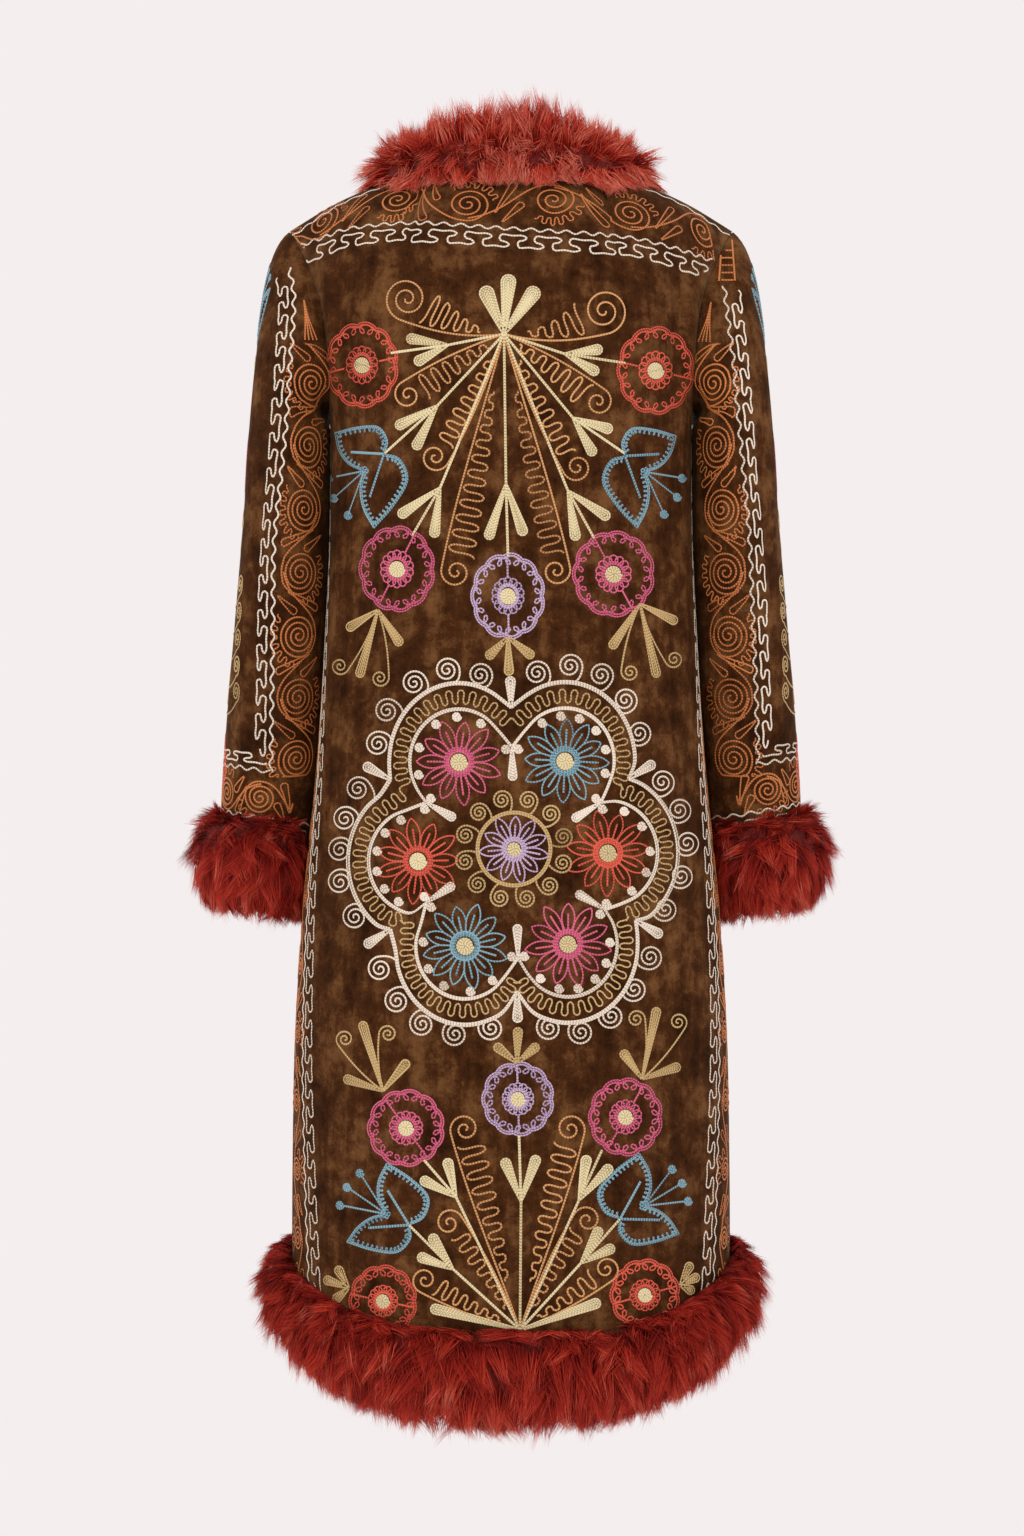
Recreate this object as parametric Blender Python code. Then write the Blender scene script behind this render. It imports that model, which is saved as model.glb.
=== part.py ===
"""A long embroidered coat with a fur collar, cuffs and hem, in the hollow form that it has when worn.

Metres, +Z up. The wearer faces -Y, and +X is the wearer's left. The origin is the middle of the neck opening
at the height of the side neck points, where the wearer's neck and shoulders hold the coat.
The suede is cut as a back, two fronts and two sleeves. Each is a thin wall on a smooth form: level sections
below the underarm, then columns that bend over the shoulder blades and the chest to the neckline and the
shoulder seams. Each sleeve is two solids, its cap and the arm below the bend.
"""

import math

import bmesh
import bpy
import numpy as np
from mathutils import Vector
from mathutils.bvhtree import BVHTree

# Cloth and seams
CLOTH = 0.0020
SEAM_GAP = 0.0003
FUR_SEAT = 0.0006
FRONT_GAP = 0.0012

# Heights down from the side neck points
UNDERARM = -0.217
ARMHOLE_TURN = 0.036
HEM_CLOTH = -1.047
HEM_DIP = 0.045

# Body sections, from the shoulder blades to the hem
BODY_COLUMNS = ("height", "half_width", "back_depth", "front_depth", "squareness")
BODY_SECTIONS = [
    (-0.160, 0.1705, 0.117, 0.122, 2.50),
    (-0.217, 0.1660, 0.118, 0.127, 2.50),
    (-0.312, 0.1650, 0.117, 0.128, 2.48),
    (-0.432, 0.1700, 0.119, 0.127, 2.44),
    (-0.542, 0.1775, 0.124, 0.129, 2.38),
    (-0.652, 0.1885, 0.131, 0.134, 2.30),
    (-0.772, 0.1970, 0.139, 0.140, 2.22),
    (-0.912, 0.2000, 0.147, 0.146, 2.14),
    (-1.012, 0.2005, 0.151, 0.149, 2.10),
    (-1.162, 0.2015, 0.154, 0.152, 2.08),
]

# Neck and shoulders
NECK_HALF_WIDTH = 0.078
NECK_BACK = 0.070
NECK_FRONT = 0.082
BACK_NECK_DROP = 0.012
FRONT_NECK_DROP = 0.086
SHOULDER_POINT = 0.203
SHOULDER_DROP = 0.050
SHOULDER_BOW = 1.6
NECK_SHARE = 0.4
CHEST_SWELL = 0.004
BACK_ARMHOLE = math.radians(18)
FRONT_ARMHOLE = math.radians(24)

# Sleeve sections, from the bend under the cap to the wrist
SLEEVE_COLUMNS = ("height", "middle_x", "middle_y", "half_x", "half_y")
SLEEVE_SECTIONS = [
    (-0.257, 0.2060, 0.000, 0.0340, 0.068),
    (-0.312, 0.2090, -0.003, 0.0360, 0.067),
    (-0.412, 0.2160, -0.010, 0.0385, 0.063),
    (-0.512, 0.2245, -0.021, 0.0400, 0.057),
    (-0.612, 0.2330, -0.036, 0.0395, 0.052),
    (-0.712, 0.2410, -0.051, 0.0385, 0.049),
]
SLEEVE_BEND = -0.257
SLEEVE_END = -0.634
WRIST_TILT = 0.16

# Largest folds: soft ridges and troughs that stand off a panel, by the panel's own x, height and lean
FOLD_COLUMNS = ("panel", "x", "top", "bottom", "lean", "half_width", "rise")
FOLDS = [
    ("back", -0.152, -0.085, -0.215, -0.010, 0.0090, 0.0036),
    ("back", -0.133, -0.095, -0.235, -0.012, 0.0110, -0.0028),
    ("back", 0.154, -0.080, -0.200, 0.008, 0.0090, 0.0034),
    ("back", 0.136, -0.095, -0.225, 0.012, 0.0110, -0.0026),
    ("back", -0.090, -0.560, -1.000, -0.020, 0.0260, 0.0030),
    ("back", 0.098, -0.600, -1.020, 0.022, 0.0280, 0.0026),
    ("front", -0.140, -0.090, -0.260, -0.014, 0.0110, -0.0030),
    ("front", 0.142, -0.085, -0.250, 0.012, 0.0110, -0.0030),
    ("front", -0.105, -0.480, -1.010, -0.022, 0.0260, 0.0034),
    ("front", 0.096, -0.520, -1.000, 0.020, 0.0280, 0.0030),
]
SLEEVE_FOLD_COLUMNS = ("around", "top", "bottom", "half_angle", "rise")
SLEEVE_FOLDS = [
    (0.55, -0.120, -0.330, 0.22, 0.0022),
    (1.05, -0.200, -0.420, 0.20, -0.0020),
    (5.45, -0.140, -0.380, 0.24, 0.0022),
    (4.80, -0.300, -0.520, 0.26, -0.0018),
]

# Fur, from the cloth to the tips of the pile, and how far its solid reaches above and below its seam
HEM_PILE = 0.034
HEM_FUR_TOP = 0.066
HEM_FUR_BOTTOM = -0.030
CUFF_PILE = 0.033
CUFF_SEAM = -0.618
CUFF_FUR_TOP = 0.040
CUFF_FUR_BOTTOM = -0.064
CUFF_CLEAR = 0.0016
COLLAR_CLEAR = 0.0032
COLLAR_END_GAP = 0.0012
LAID_FROM = 0.0016

# The collar's roll, from the centre back round to the front edge: how far it goes in from the neckline, where
# its crown is, counted out and up from the neckline, and how far it lies out over the cloth
COLLAR_COLUMNS = ("around", "inwards", "crown_out", "crown_up", "spread")
COLLAR_SECTIONS = [
    (0, 0.014, 0.014, 0.0615, 0.026),
    (35, 0.014, 0.015, 0.0530, 0.034),
    (65, 0.013, 0.018, 0.0420, 0.052),
    (90, 0.012, 0.022, 0.0370, 0.064),
    (120, 0.012, 0.026, 0.0400, 0.062),
    (150, 0.012, 0.026, 0.0380, 0.056),
    (176, 0.010, 0.024, 0.0340, 0.050),
]

# How finely each wall is divided
NECK_COLUMNS = 5
SHOULDER_COLUMNS = 6
HEM_ROWS = 14
TURN_ROWS = 3
SHOULDER_ROWS = 6
CAP_ROWS = 5
ARM_ROWS = 8
SPLIT_ROW = CAP_ROWS + 1
PROFILE_STEPS = 12
COLLAR_LAID = 7
COLLAR_RISE = 4

SUEDE = ("#4A2E17", 0.92)
FUR = ("#8E2A20", 0.95)


def smooth_table(table, at):
    """Each further column of a table, read at the given values of its first column by one smooth curve."""
    rows = np.array(table, float)
    rows = rows[np.argsort(rows[:, 0])]
    knots, values = rows[:, 0], rows[:, 1:]
    slopes = np.gradient(values, knots, axis=0)
    at = np.clip(np.asarray(at, float), knots[0], knots[-1])
    left = np.clip(np.searchsorted(knots, at) - 1, 0, len(knots) - 2)
    width = (knots[left + 1] - knots[left])[..., None]
    t = (at[..., None] - knots[left][..., None]) / width
    low, high = values[left], values[left + 1]
    rise = (2 * t**3 - 3 * t**2 + 1) * low + (3 * t**2 - 2 * t**3) * high
    turn = (t**3 - 2 * t**2 + t) * slopes[left] + (t**3 - t**2) * slopes[left + 1]
    return np.moveaxis(rise + turn * width, -1, 0)


def bezier(p0, p1, p2, p3, t):
    return (1 - t) ** 3 * p0 + 3 * (1 - t) ** 2 * t * p1 + 3 * (1 - t) * t**2 * p2 + t**3 * p3


def points(x, y, z):
    return np.stack(np.broadcast_arrays(x, y, z), axis=-1).astype(float)


def unit(vectors):
    return vectors / np.maximum(np.linalg.norm(vectors, axis=-1, keepdims=True), 1e-12)


def smooth_step(t):
    t = np.clip(t, 0, 1)
    return t * t * (3 - 2 * t)


def body_section(angle, height, back):
    """The level section at a height. Angle 0 is the wearer's left side, a quarter turn the middle."""
    half_width, back_depth, front_depth, squareness = smooth_table(BODY_SECTIONS, height)
    depth = back_depth if back else -front_depth
    cosine, sine = np.cos(angle), np.sin(angle)
    x = half_width * np.sign(cosine) * np.abs(cosine) ** (2 / squareness)
    y = depth * np.abs(sine) ** (2 / squareness)
    return points(x, y, height)


def half_columns():
    """The columns of half a panel: 0 on the middle, NECK_SHARE at the side neck point, 1 on the side."""
    neck = np.linspace(0, NECK_SHARE, NECK_COLUMNS + 1)
    return np.concatenate([neck, np.linspace(NECK_SHARE, 1, SHOULDER_COLUMNS + 1)[1:]])


def hem_height(across):
    """The hem's edge: lowest at the centre back and centre front, higher at the sides."""
    return HEM_CLOTH - HEM_DIP / 2 * np.cos(math.pi * np.abs(across) ** 1.25)


def top_edge(across, back):
    """Where a panel's columns end: on the neckline near the middle, then along the shoulder seam."""
    side = np.sign(across)
    amount = np.abs(across)
    turn = np.clip(amount / NECK_SHARE, 0, 1) * math.pi / 2
    along = np.clip((amount - NECK_SHARE) / (1 - NECK_SHARE), 0, 1)
    depth = NECK_BACK if back else -NECK_FRONT
    drop = BACK_NECK_DROP if back else FRONT_NECK_DROP
    x = NECK_HALF_WIDTH * np.sin(turn) + (SHOULDER_POINT - NECK_HALF_WIDTH) * along
    y = depth * np.cos(turn) + (SEAM_GAP if back else -SEAM_GAP)
    z = -drop * np.cos(turn) ** (1 if back else 1.4) - SHOULDER_DROP * along**SHOULDER_BOW
    return points(side * x, y, z)


def top_handle(across, back):
    """The way a column runs back from the top edge: down the neck in the middle, level on the shoulder."""
    amount = np.clip(np.abs(across) / NECK_SHARE, 0, 1)
    blend = smooth_step(amount)
    reach = 0.052 + 0.016 * blend - 0.030 * smooth_step((np.abs(across) - 0.75) / 0.25)
    y = (0.45 + 0.55 * blend) if back else -(0.30 + 0.70 * blend)
    z = -0.90 + (0.78 if back else 0.74) * blend
    return unit(points(0 * across, y, z)) * reach[..., None]


def fold_rise(panel, place):
    """How far the largest folds stand off a panel at each point."""
    x, z = place[..., 0], place[..., 2]
    rise = np.zeros(x.shape)
    for name, at, top, bottom, lean, half_width, height in FOLDS:
        if name != panel:
            continue
        along = (z - top) / (bottom - top)
        beside = (x - at - lean * along) / half_width
        window = smooth_step(along / 0.35) * smooth_step((1 - along) / 0.35)
        rise += height * window * np.exp(-(beside**2))
    return rise


def grid_normals(place):
    along = np.gradient(place, axis=1)
    down = np.gradient(place, axis=0)
    return unit(np.cross(along, down))


def panel_normals(grid, across, back):
    """A panel's normals. On its side and shoulder seams they lie in the seam's plane, for square edges."""
    out = grid_normals(grid)
    out *= np.sign(out[HEM_ROWS, np.argmin(np.abs(across)), 1]) * (1 if back else -1)
    on_side = np.abs(across) > 1 - 1e-9
    on_shoulder = np.abs(across) > NECK_SHARE - 1e-9
    on_front_edge = (np.abs(across) < 1e-9) & (not back)
    out[: HEM_ROWS + 1, on_side, 1] = 0
    out[-1, on_shoulder, 1] = 0
    out[:, on_front_edge, 0] = 0
    return unit(out)


def panel_grid(across, back):
    """A panel's outer surface, row by row from the hem to the top edge. Across is -1 to 1 over the body."""
    start = BACK_ARMHOLE if back else FRONT_ARMHOLE
    quarter = math.pi / 2
    rows = []
    for share in np.linspace(0, 1, HEM_ROWS + 1):
        height = hem_height(across) * (1 - share) + UNDERARM * share
        rows.append(body_section(quarter - across * quarter, height, back))
    for beta in np.linspace(0, quarter, TURN_ROWS + 1)[1:]:
        height = UNDERARM + ARMHOLE_TURN * (1 - math.cos(beta))
        edge = start * math.sin(beta)
        rows.append(body_section(quarter - across * (quarter - edge), height + 0 * across, back))
    low, high = rows[-1], top_edge(across, back)
    rise = high[:, 2:] - low[:, 2:]
    first = low + points(0 * across, 0.0 if back else -CHEST_SWELL, 0.52 * rise[:, 0])
    last = high + top_handle(across, back)
    for t in np.linspace(0, 1, SHOULDER_ROWS + 1)[1:]:
        rows.append(bezier(low, first, last, high, t))
    grid = np.array(rows)
    out = panel_normals(grid, across, back)
    grid += out * fold_rise("back" if back else "front", grid)[..., None]
    grid[: HEM_ROWS + 1, :, 1] += SEAM_GAP / 2 if back else -SEAM_GAP / 2
    return grid


def armhole_loop(side):
    """The armhole's edge, from the shoulder point down the back to the underarm and up the front again.

    With it come the points a little way in on the panels, and the panels' normals along the edge.
    """
    across = np.array([side * 0.9, side * 1.0])
    parts = []
    for back in (True, False):
        grid = panel_grid(across, back)
        normals = panel_normals(grid, across, back)
        both = np.concatenate([grid, normals], axis=1)[HEM_ROWS:]
        parts.append(both[::-1] if back else both[1:])
    joined = np.concatenate(parts)
    return joined[:, 1], joined[:, 0], joined[:, 3]


def sleeve_ring(angle, height, side):
    """Points of the sleeve at a height. Angle 0 is its outer side, a quarter turn its back."""
    middle_x, middle_y, half_x, half_y = smooth_table(SLEEVE_SECTIONS, height)
    x = middle_x + half_x * np.cos(angle)
    y = middle_y + half_y * np.sin(angle)
    tilt = WRIST_TILT * smooth_step((SLEEVE_BEND - height) / (SLEEVE_BEND - SLEEVE_END))
    z = height + tilt * half_x * np.cos(angle)
    return points(side * x, y, z)


def ring_angles(loop):
    """Each armhole point's angle on the sleeve: no turn at the shoulder, half a turn at the underarm."""
    half = len(loop) // 2
    steps = np.linalg.norm(np.diff(loop, axis=0), axis=1)
    first = np.concatenate([[0], np.cumsum(steps[:half])])
    second = np.concatenate([[0], np.cumsum(steps[half:])])
    return np.concatenate([first / first[-1], 1 + second[1:] / second[-1]]) * math.pi


def sleeve_grid(side):
    """The sleeve's outer surface, ring by ring from armhole to wrist, and the angle of each column."""
    loop, inner, normals = armhole_loop(side)
    angle = ring_angles(loop)
    bend = sleeve_ring(angle, SLEEVE_BEND + 0 * angle, side)
    below = sleeve_ring(angle, SLEEVE_BEND - 0.01 + 0 * angle, side)
    upper = (1 + np.cos(angle)) / 2
    outward = points(side * (0.35 + 0.45 * upper), 0.55 * np.sin(angle), -0.62 * upper + 0.10 * (1 - upper))
    outward = unit(outward)
    turn = np.einsum("ij,ij->i", unit(loop - inner), outward)
    inwards = np.einsum("ij,ij->i", normals, outward) < 0
    half_turn = inwards * np.sqrt(np.clip((1 - turn) / 2, 0, 1))
    start = loop + outward * ((2 + inwards) * SEAM_GAP + 2.6 * CLOTH * half_turn)[:, None]
    reach = (0.014 + 0.022 * upper)[:, None]
    drop = (0.012 + 0.078 * upper)[:, None]
    rows = [
        bezier(start, start + outward * reach, bend + unit(bend - below) * drop, bend, t)
        for t in np.linspace(0, 1, CAP_ROWS + 1)
    ]
    for share in np.linspace(0, 1, ARM_ROWS + 1)[1:]:
        height = SLEEVE_BEND + (SLEEVE_END - SLEEVE_BEND) * share
        rows.append(sleeve_ring(angle, height + 0 * angle, side))
    grid = np.array(rows)
    out = points(side * np.cos(angle), np.sin(angle), 0 * angle)
    for at, top, bottom, half_angle, rise in SLEEVE_FOLDS:
        along = (grid[..., 2] - top) / (bottom - top)
        window = smooth_step(along / 0.35) * smooth_step((1 - along) / 0.35)
        grid += out * (rise * window * np.exp(-(((angle - at) / half_angle) ** 2)))[..., None]
    return grid, angle


def wall_profile(pile, top, bottom):
    """A fur band's section as (off the cloth, up): flat against the cloth, round outside."""
    turn = np.linspace(0, 2 * math.pi, PROFILE_STEPS + 1)
    cosine, sine = np.cos(turn), np.sin(turn)
    off = pile * np.where(cosine > 0, cosine, 0)
    up = (top + bottom) / 2 + (top - bottom) / 2 * sine
    return off, up


def hem_fur_grid():
    """The hem's fur band, round the body from one front edge to the other."""
    half = half_columns()
    back = np.concatenate([half[::-1], -half[1:]])
    across = np.concatenate([half, back[1:], -half[::-1][1:]])
    is_back = np.zeros(len(across), bool)
    is_back[len(half) - 1 : len(half) - 1 + len(back)] = True
    off, up = wall_profile(HEM_PILE, HEM_FUR_TOP, HEM_FUR_BOTTOM)
    rows = []
    for o, u in zip(off, up):
        height = hem_height(across) + u
        skin = body_section(math.pi / 2 - across * math.pi / 2, height, True)
        front_skin = body_section(math.pi / 2 - across * math.pi / 2, height, False)
        skin[~is_back] = front_skin[~is_back]
        ends = np.abs(across) < 1e-9
        skin[ends & ~is_back, 0] = np.array([1, -1]) * FRONT_GAP
        out = unit(np.gradient(skin, axis=0)[:, [1, 0, 2]] * np.array([-1, 1, 0]))
        out *= np.sign(np.einsum("ij,ij->i", out, skin * np.array([1, 1, 0])))[:, None]
        out[ends & ~is_back] = (0, -1, 0)
        rows.append(skin + out * (FUR_SEAT + SEAM_GAP + o))
    return np.array(rows)


def body_side(place):
    """How far from the middle the body's cloth is, at each point's own depth and height."""
    half_width, back_depth, front_depth, squareness = smooth_table(BODY_SECTIONS, place[..., 2])
    depth = np.where(place[..., 1] > 0, back_depth, front_depth)
    share = np.clip(np.abs(place[..., 1]) / depth, 0, 1)
    return half_width * (1 - share**squareness) ** (1 / squareness)


def cuff_fur_grid(side, angle):
    """A fur cuff round the wrist. Its pile lies flat where it meets the body."""
    off, up = wall_profile(CUFF_PILE, CUFF_FUR_TOP, CUFF_FUR_BOTTOM)
    out = points(side * np.cos(angle), np.sin(angle), 0 * angle)
    rows = []
    for o, u in zip(off, up):
        skin = sleeve_ring(angle, CUFF_SEAM + u + 0 * angle, side)
        rows.append(skin + out * (FUR_SEAT + o))
    grid = np.array(rows)
    grid[..., 0] = side * np.maximum(side * grid[..., 0], body_side(grid) + CUFF_CLEAR)
    return grid


def neck_corners():
    """The neckline's corners, from the right front end round the back to the left front end."""
    half = np.linspace(0, NECK_SHARE, NECK_COLUMNS + 1)
    right_front = top_edge(-half, False)
    back = top_edge(np.concatenate([-half[::-1], half[1:]]), True)
    left_front = top_edge(half[::-1], False)
    return np.concatenate([right_front[:-1], back, left_front[1:]])


def collar_grid(panels):
    """The fur collar's roll, ring by ring round the neck. Its underside follows the panels."""
    trees = [BVHTree.FromBMesh(sheet_bmesh(panel)) for panel in panels]
    corners = neck_corners()
    necks = np.repeat(corners, 2, axis=0)[:-1]
    necks[1::2] = (corners[:-1] + corners[1:]) / 2
    necks[0, 0], necks[-1, 0] = -COLLAR_END_GAP, COLLAR_END_GAP
    up = np.array([0, 0, 1.0])
    rings = []
    for neck in necks:
        out = unit(neck * (1, 1, 0))
        around = abs(math.degrees(math.atan2(neck[0], neck[1])))
        inwards, crown_out, crown_up, spread = smooth_table(COLLAR_SECTIONS, around)
        places, normals = [neck], []
        for reach in LAID_FROM + np.linspace(0, 1, 40) ** 1.5 * 0.085:
            over = neck + out * reach
            starts = [Vector((over[0], over[1] + y, 0.5)) for y in (-0.001, 0.001)]
            casts = [tree.ray_cast(start, Vector((0, 0, -1))) for tree in trees for start in starts]
            hits = [cast for cast in casts if cast[0]]
            if hits:
                hit, normal = max(hits, key=lambda cast: cast[0].z)[:2]
                places.append((*over[:2], hit.z))
                normals.append(normal if normal.z > 0 else -normal)
        places, normals = np.array(places), np.array(normals[:1] + normals)
        lengths = np.concatenate([[0], np.cumsum(np.linalg.norm(np.diff(places, axis=0), axis=1))])
        raised = places + normals * COLLAR_CLEAR
        laid = np.linspace(spread, LAID_FROM, COLLAR_LAID)
        under = np.stack([np.interp(laid, lengths, raised[:, i]) for i in range(3)], axis=-1)
        leave = np.array([np.interp(spread, lengths, normals[:, i]) for i in range(3)])
        lip = neck - out * 2 * CLOTH + up * COLLAR_CLEAR
        foot = neck - out * inwards + up * COLLAR_CLEAR
        crown = neck + out * crown_out + up * crown_up
        rim = under[0]
        t = np.linspace(0, 1, COLLAR_RISE + 1)[:, None]
        rise = bezier(foot, foot + up * 0.6 * crown_up, crown - out * 0.5 * (crown_out + inwards), crown, t)
        width = np.linalg.norm((rim - crown)[:2])
        fall = bezier(crown, crown + out * 0.6 * width, rim + leave * 0.5 * (crown[2] - rim[2]), rim, t)
        rings.append(np.concatenate([under, [neck + up * COLLAR_CLEAR, lip], rise, fall[1:]]))
    return np.array(rings).transpose(1, 0, 2)


def sheet_bmesh(grid, wrap_rows=False, wrap_columns=False):
    """A sheet on a grid of points, welded where it runs round. Each point keeps its number."""
    rows, columns = grid.shape[:2]
    bm = bmesh.new()
    number = bm.verts.layers.int.new("number")
    bmesh.ops.create_grid(bm, x_segments=columns - 1, y_segments=rows - 1, size=1)
    for index, (vert, place) in enumerate(zip(bm.verts, grid.reshape(-1, 3))):
        vert.co = place
        vert[number] = index
    if wrap_rows or wrap_columns:
        bmesh.ops.remove_doubles(bm, verts=bm.verts, dist=1e-5)
    bmesh.ops.triangulate(bm, faces=bm.faces, quad_method="SHORT_EDGE")
    return bm


def finish_mesh(bm, name):
    bmesh.ops.recalc_face_normals(bm, faces=bm.faces)
    mesh = bpy.data.meshes.new(name)
    bm.to_mesh(mesh)
    bm.free()
    return mesh


def material(name, look):
    code, roughness = look
    made = bpy.data.materials.new(name)
    made.use_nodes = True
    shader = made.node_tree.nodes["Principled BSDF"]
    colour = [(int(code[i : i + 2], 16) / 255) ** 2.2 for i in (1, 3, 5)]
    shader.inputs["Base Color"].default_value = (*colour, 1)
    shader.inputs["Roughness"].default_value = roughness
    return made


def add_piece(name, mesh, look, collection):
    piece = bpy.data.objects.new(name, mesh)
    piece.data.materials.append(look)
    collection.objects.link(piece)
    mesh.shade_smooth()
    return piece


def add_wall(name, grid, out, look, collection, wrap=False):
    """A cloth panel: its outer surface, and its inner surface one cloth's thickness in."""
    inner = (grid - out * CLOTH).reshape(-1, 3)
    bm = sheet_bmesh(grid, wrap_columns=wrap)
    number = bm.verts.layers.int["number"]
    made = bmesh.ops.extrude_face_region(bm, geom=list(bm.faces), use_keep_orig=True)
    for vert in (v for v in made["geom"] if isinstance(v, bmesh.types.BMVert)):
        vert.co = inner[vert[number]]
    return add_piece(name, finish_mesh(bm, name), look, collection)


def add_fur(name, grid, look, collection, ring):
    """A fur band: a closed roll, either a full ring or with two capped ends."""
    bm = sheet_bmesh(grid, wrap_rows=True, wrap_columns=ring)
    if not ring:
        bmesh.ops.holes_fill(bm, edges=[e for e in bm.edges if e.is_boundary], sides=0)
    return add_piece(name, finish_mesh(bm, name), look, collection)


def main():
    for old in list(bpy.data.objects):
        bpy.data.objects.remove(old)
    coat = bpy.data.collections.new("embroidered_coat")
    bpy.context.scene.collection.children.link(coat)
    suede = material("suede", SUEDE)
    fur = material("fur", FUR)

    half = half_columns()
    grids = []
    for name, across, is_back in (
        ("back", np.concatenate([-half[::-1], half[1:]]), True),
        ("front_left", half, False),
        ("front_right", -half[::-1], False),
    ):
        grid = panel_grid(across, is_back)
        out = panel_normals(grid, across, is_back)
        if not is_back:
            grid[..., 0] += FRONT_GAP / 2 * np.sign(across.sum()) * (1 - np.abs(across))
        grids.append(grid)
        add_wall(name, grid, out, suede, coat)

    for name, side in (("left", 1), ("right", -1)):
        grid, angle = sleeve_grid(side)
        out = grid_normals(grid)
        out *= np.sign(out[-1, 0, 0] * side)
        out[:, 0] = out[:, -1] = unit(out[:, 0] + out[:, -1])
        arm = grid[SPLIT_ROW:].copy()
        arm[0] += unit(arm[1] - arm[0]) * SEAM_GAP
        add_wall("sleeve_cap_" + name, grid[: SPLIT_ROW + 1], out[: SPLIT_ROW + 1], suede, coat, wrap=True)
        add_wall("sleeve_" + name, arm, out[SPLIT_ROW:], suede, coat, wrap=True)
        add_fur("cuff_fur_" + name, cuff_fur_grid(side, angle), fur, coat, ring=True)

    add_fur("hem_fur", hem_fur_grid(), fur, coat, ring=False)
    add_fur("collar_fur", collar_grid(grids), fur, coat, ring=False)


main()
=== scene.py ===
"""A long coat of brown suede with chain-stitch embroidery and long red fur at its collar, cuffs and hem.

Metres, +Z up. The wearer faces -Y, and +X is the wearer's left. Every suede piece is a thin shell on the form
of its solid, with the finer creases laid in one by one. The embroidery is sewn lines, drawn in the pixels of
the
1024 x 1536 picture or in millimetres on the cloth, and each line is then laid on the cloth. The fur is combed
locks of hair on a dark skin.
"""

import math

import bmesh
import bpy
import numpy as np
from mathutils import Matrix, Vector
from mathutils.bvhtree import BVHTree


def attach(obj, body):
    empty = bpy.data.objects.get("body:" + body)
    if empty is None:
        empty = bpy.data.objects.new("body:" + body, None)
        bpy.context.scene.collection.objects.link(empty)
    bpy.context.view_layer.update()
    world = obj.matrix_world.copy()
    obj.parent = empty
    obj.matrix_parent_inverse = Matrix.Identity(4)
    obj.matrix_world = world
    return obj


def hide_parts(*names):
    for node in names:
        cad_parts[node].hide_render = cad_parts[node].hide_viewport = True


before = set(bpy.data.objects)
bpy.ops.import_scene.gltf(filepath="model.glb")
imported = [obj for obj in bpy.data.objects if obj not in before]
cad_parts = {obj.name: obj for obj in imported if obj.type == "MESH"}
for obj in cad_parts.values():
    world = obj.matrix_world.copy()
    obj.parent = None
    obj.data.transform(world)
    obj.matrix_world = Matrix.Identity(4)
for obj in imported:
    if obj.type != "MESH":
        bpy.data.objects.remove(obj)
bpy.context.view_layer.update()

QUARTER = math.pi / 2
random = np.random.default_rng(7)

# Cloth and seams
CLOTH = 0.0020
SEAM_GAP = 0.0003
FUR_SEAT = 0.0006
FRONT_GAP = 0.0012

# Heights down from the side neck points
UNDERARM = -0.217
ARMHOLE_TURN = 0.036
HEM_CLOTH = -1.047
HEM_DIP = 0.045

# Body sections, from the shoulder blades to the hem
# Columns: height, half width, back depth, front depth, squareness
BODY_SECTIONS = [
    (-0.160, 0.1705, 0.117, 0.122, 2.50),
    (-0.217, 0.1660, 0.118, 0.127, 2.50),
    (-0.312, 0.1650, 0.117, 0.128, 2.48),
    (-0.432, 0.1700, 0.119, 0.127, 2.44),
    (-0.542, 0.1775, 0.124, 0.129, 2.38),
    (-0.652, 0.1885, 0.131, 0.134, 2.30),
    (-0.772, 0.1970, 0.139, 0.140, 2.22),
    (-0.912, 0.2000, 0.147, 0.146, 2.14),
    (-1.012, 0.2005, 0.151, 0.149, 2.10),
    (-1.162, 0.2015, 0.154, 0.152, 2.08),
]

# Neck and shoulders
NECK_HALF_WIDTH = 0.078
NECK_BACK = 0.070
NECK_FRONT = 0.082
BACK_NECK_DROP = 0.012
FRONT_NECK_DROP = 0.086
SHOULDER_POINT = 0.203
SHOULDER_DROP = 0.050
SHOULDER_BOW = 1.6
NECK_SHARE = 0.4
CHEST_SWELL = 0.004
BACK_ARMHOLE = math.radians(18)
FRONT_ARMHOLE = math.radians(24)

# Sleeve sections, from the bend under the cap to the wrist
# Columns: height, middle x, middle y, half width along x, half width along y
SLEEVE_SECTIONS = [
    (-0.257, 0.2060, 0.000, 0.0340, 0.068),
    (-0.312, 0.2090, -0.003, 0.0360, 0.067),
    (-0.412, 0.2160, -0.010, 0.0385, 0.063),
    (-0.512, 0.2245, -0.021, 0.0400, 0.057),
    (-0.612, 0.2330, -0.036, 0.0395, 0.052),
    (-0.712, 0.2410, -0.051, 0.0385, 0.049),
]
SLEEVE_BEND = -0.257
SLEEVE_END = -0.634
WRIST_TILT = 0.16

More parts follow.
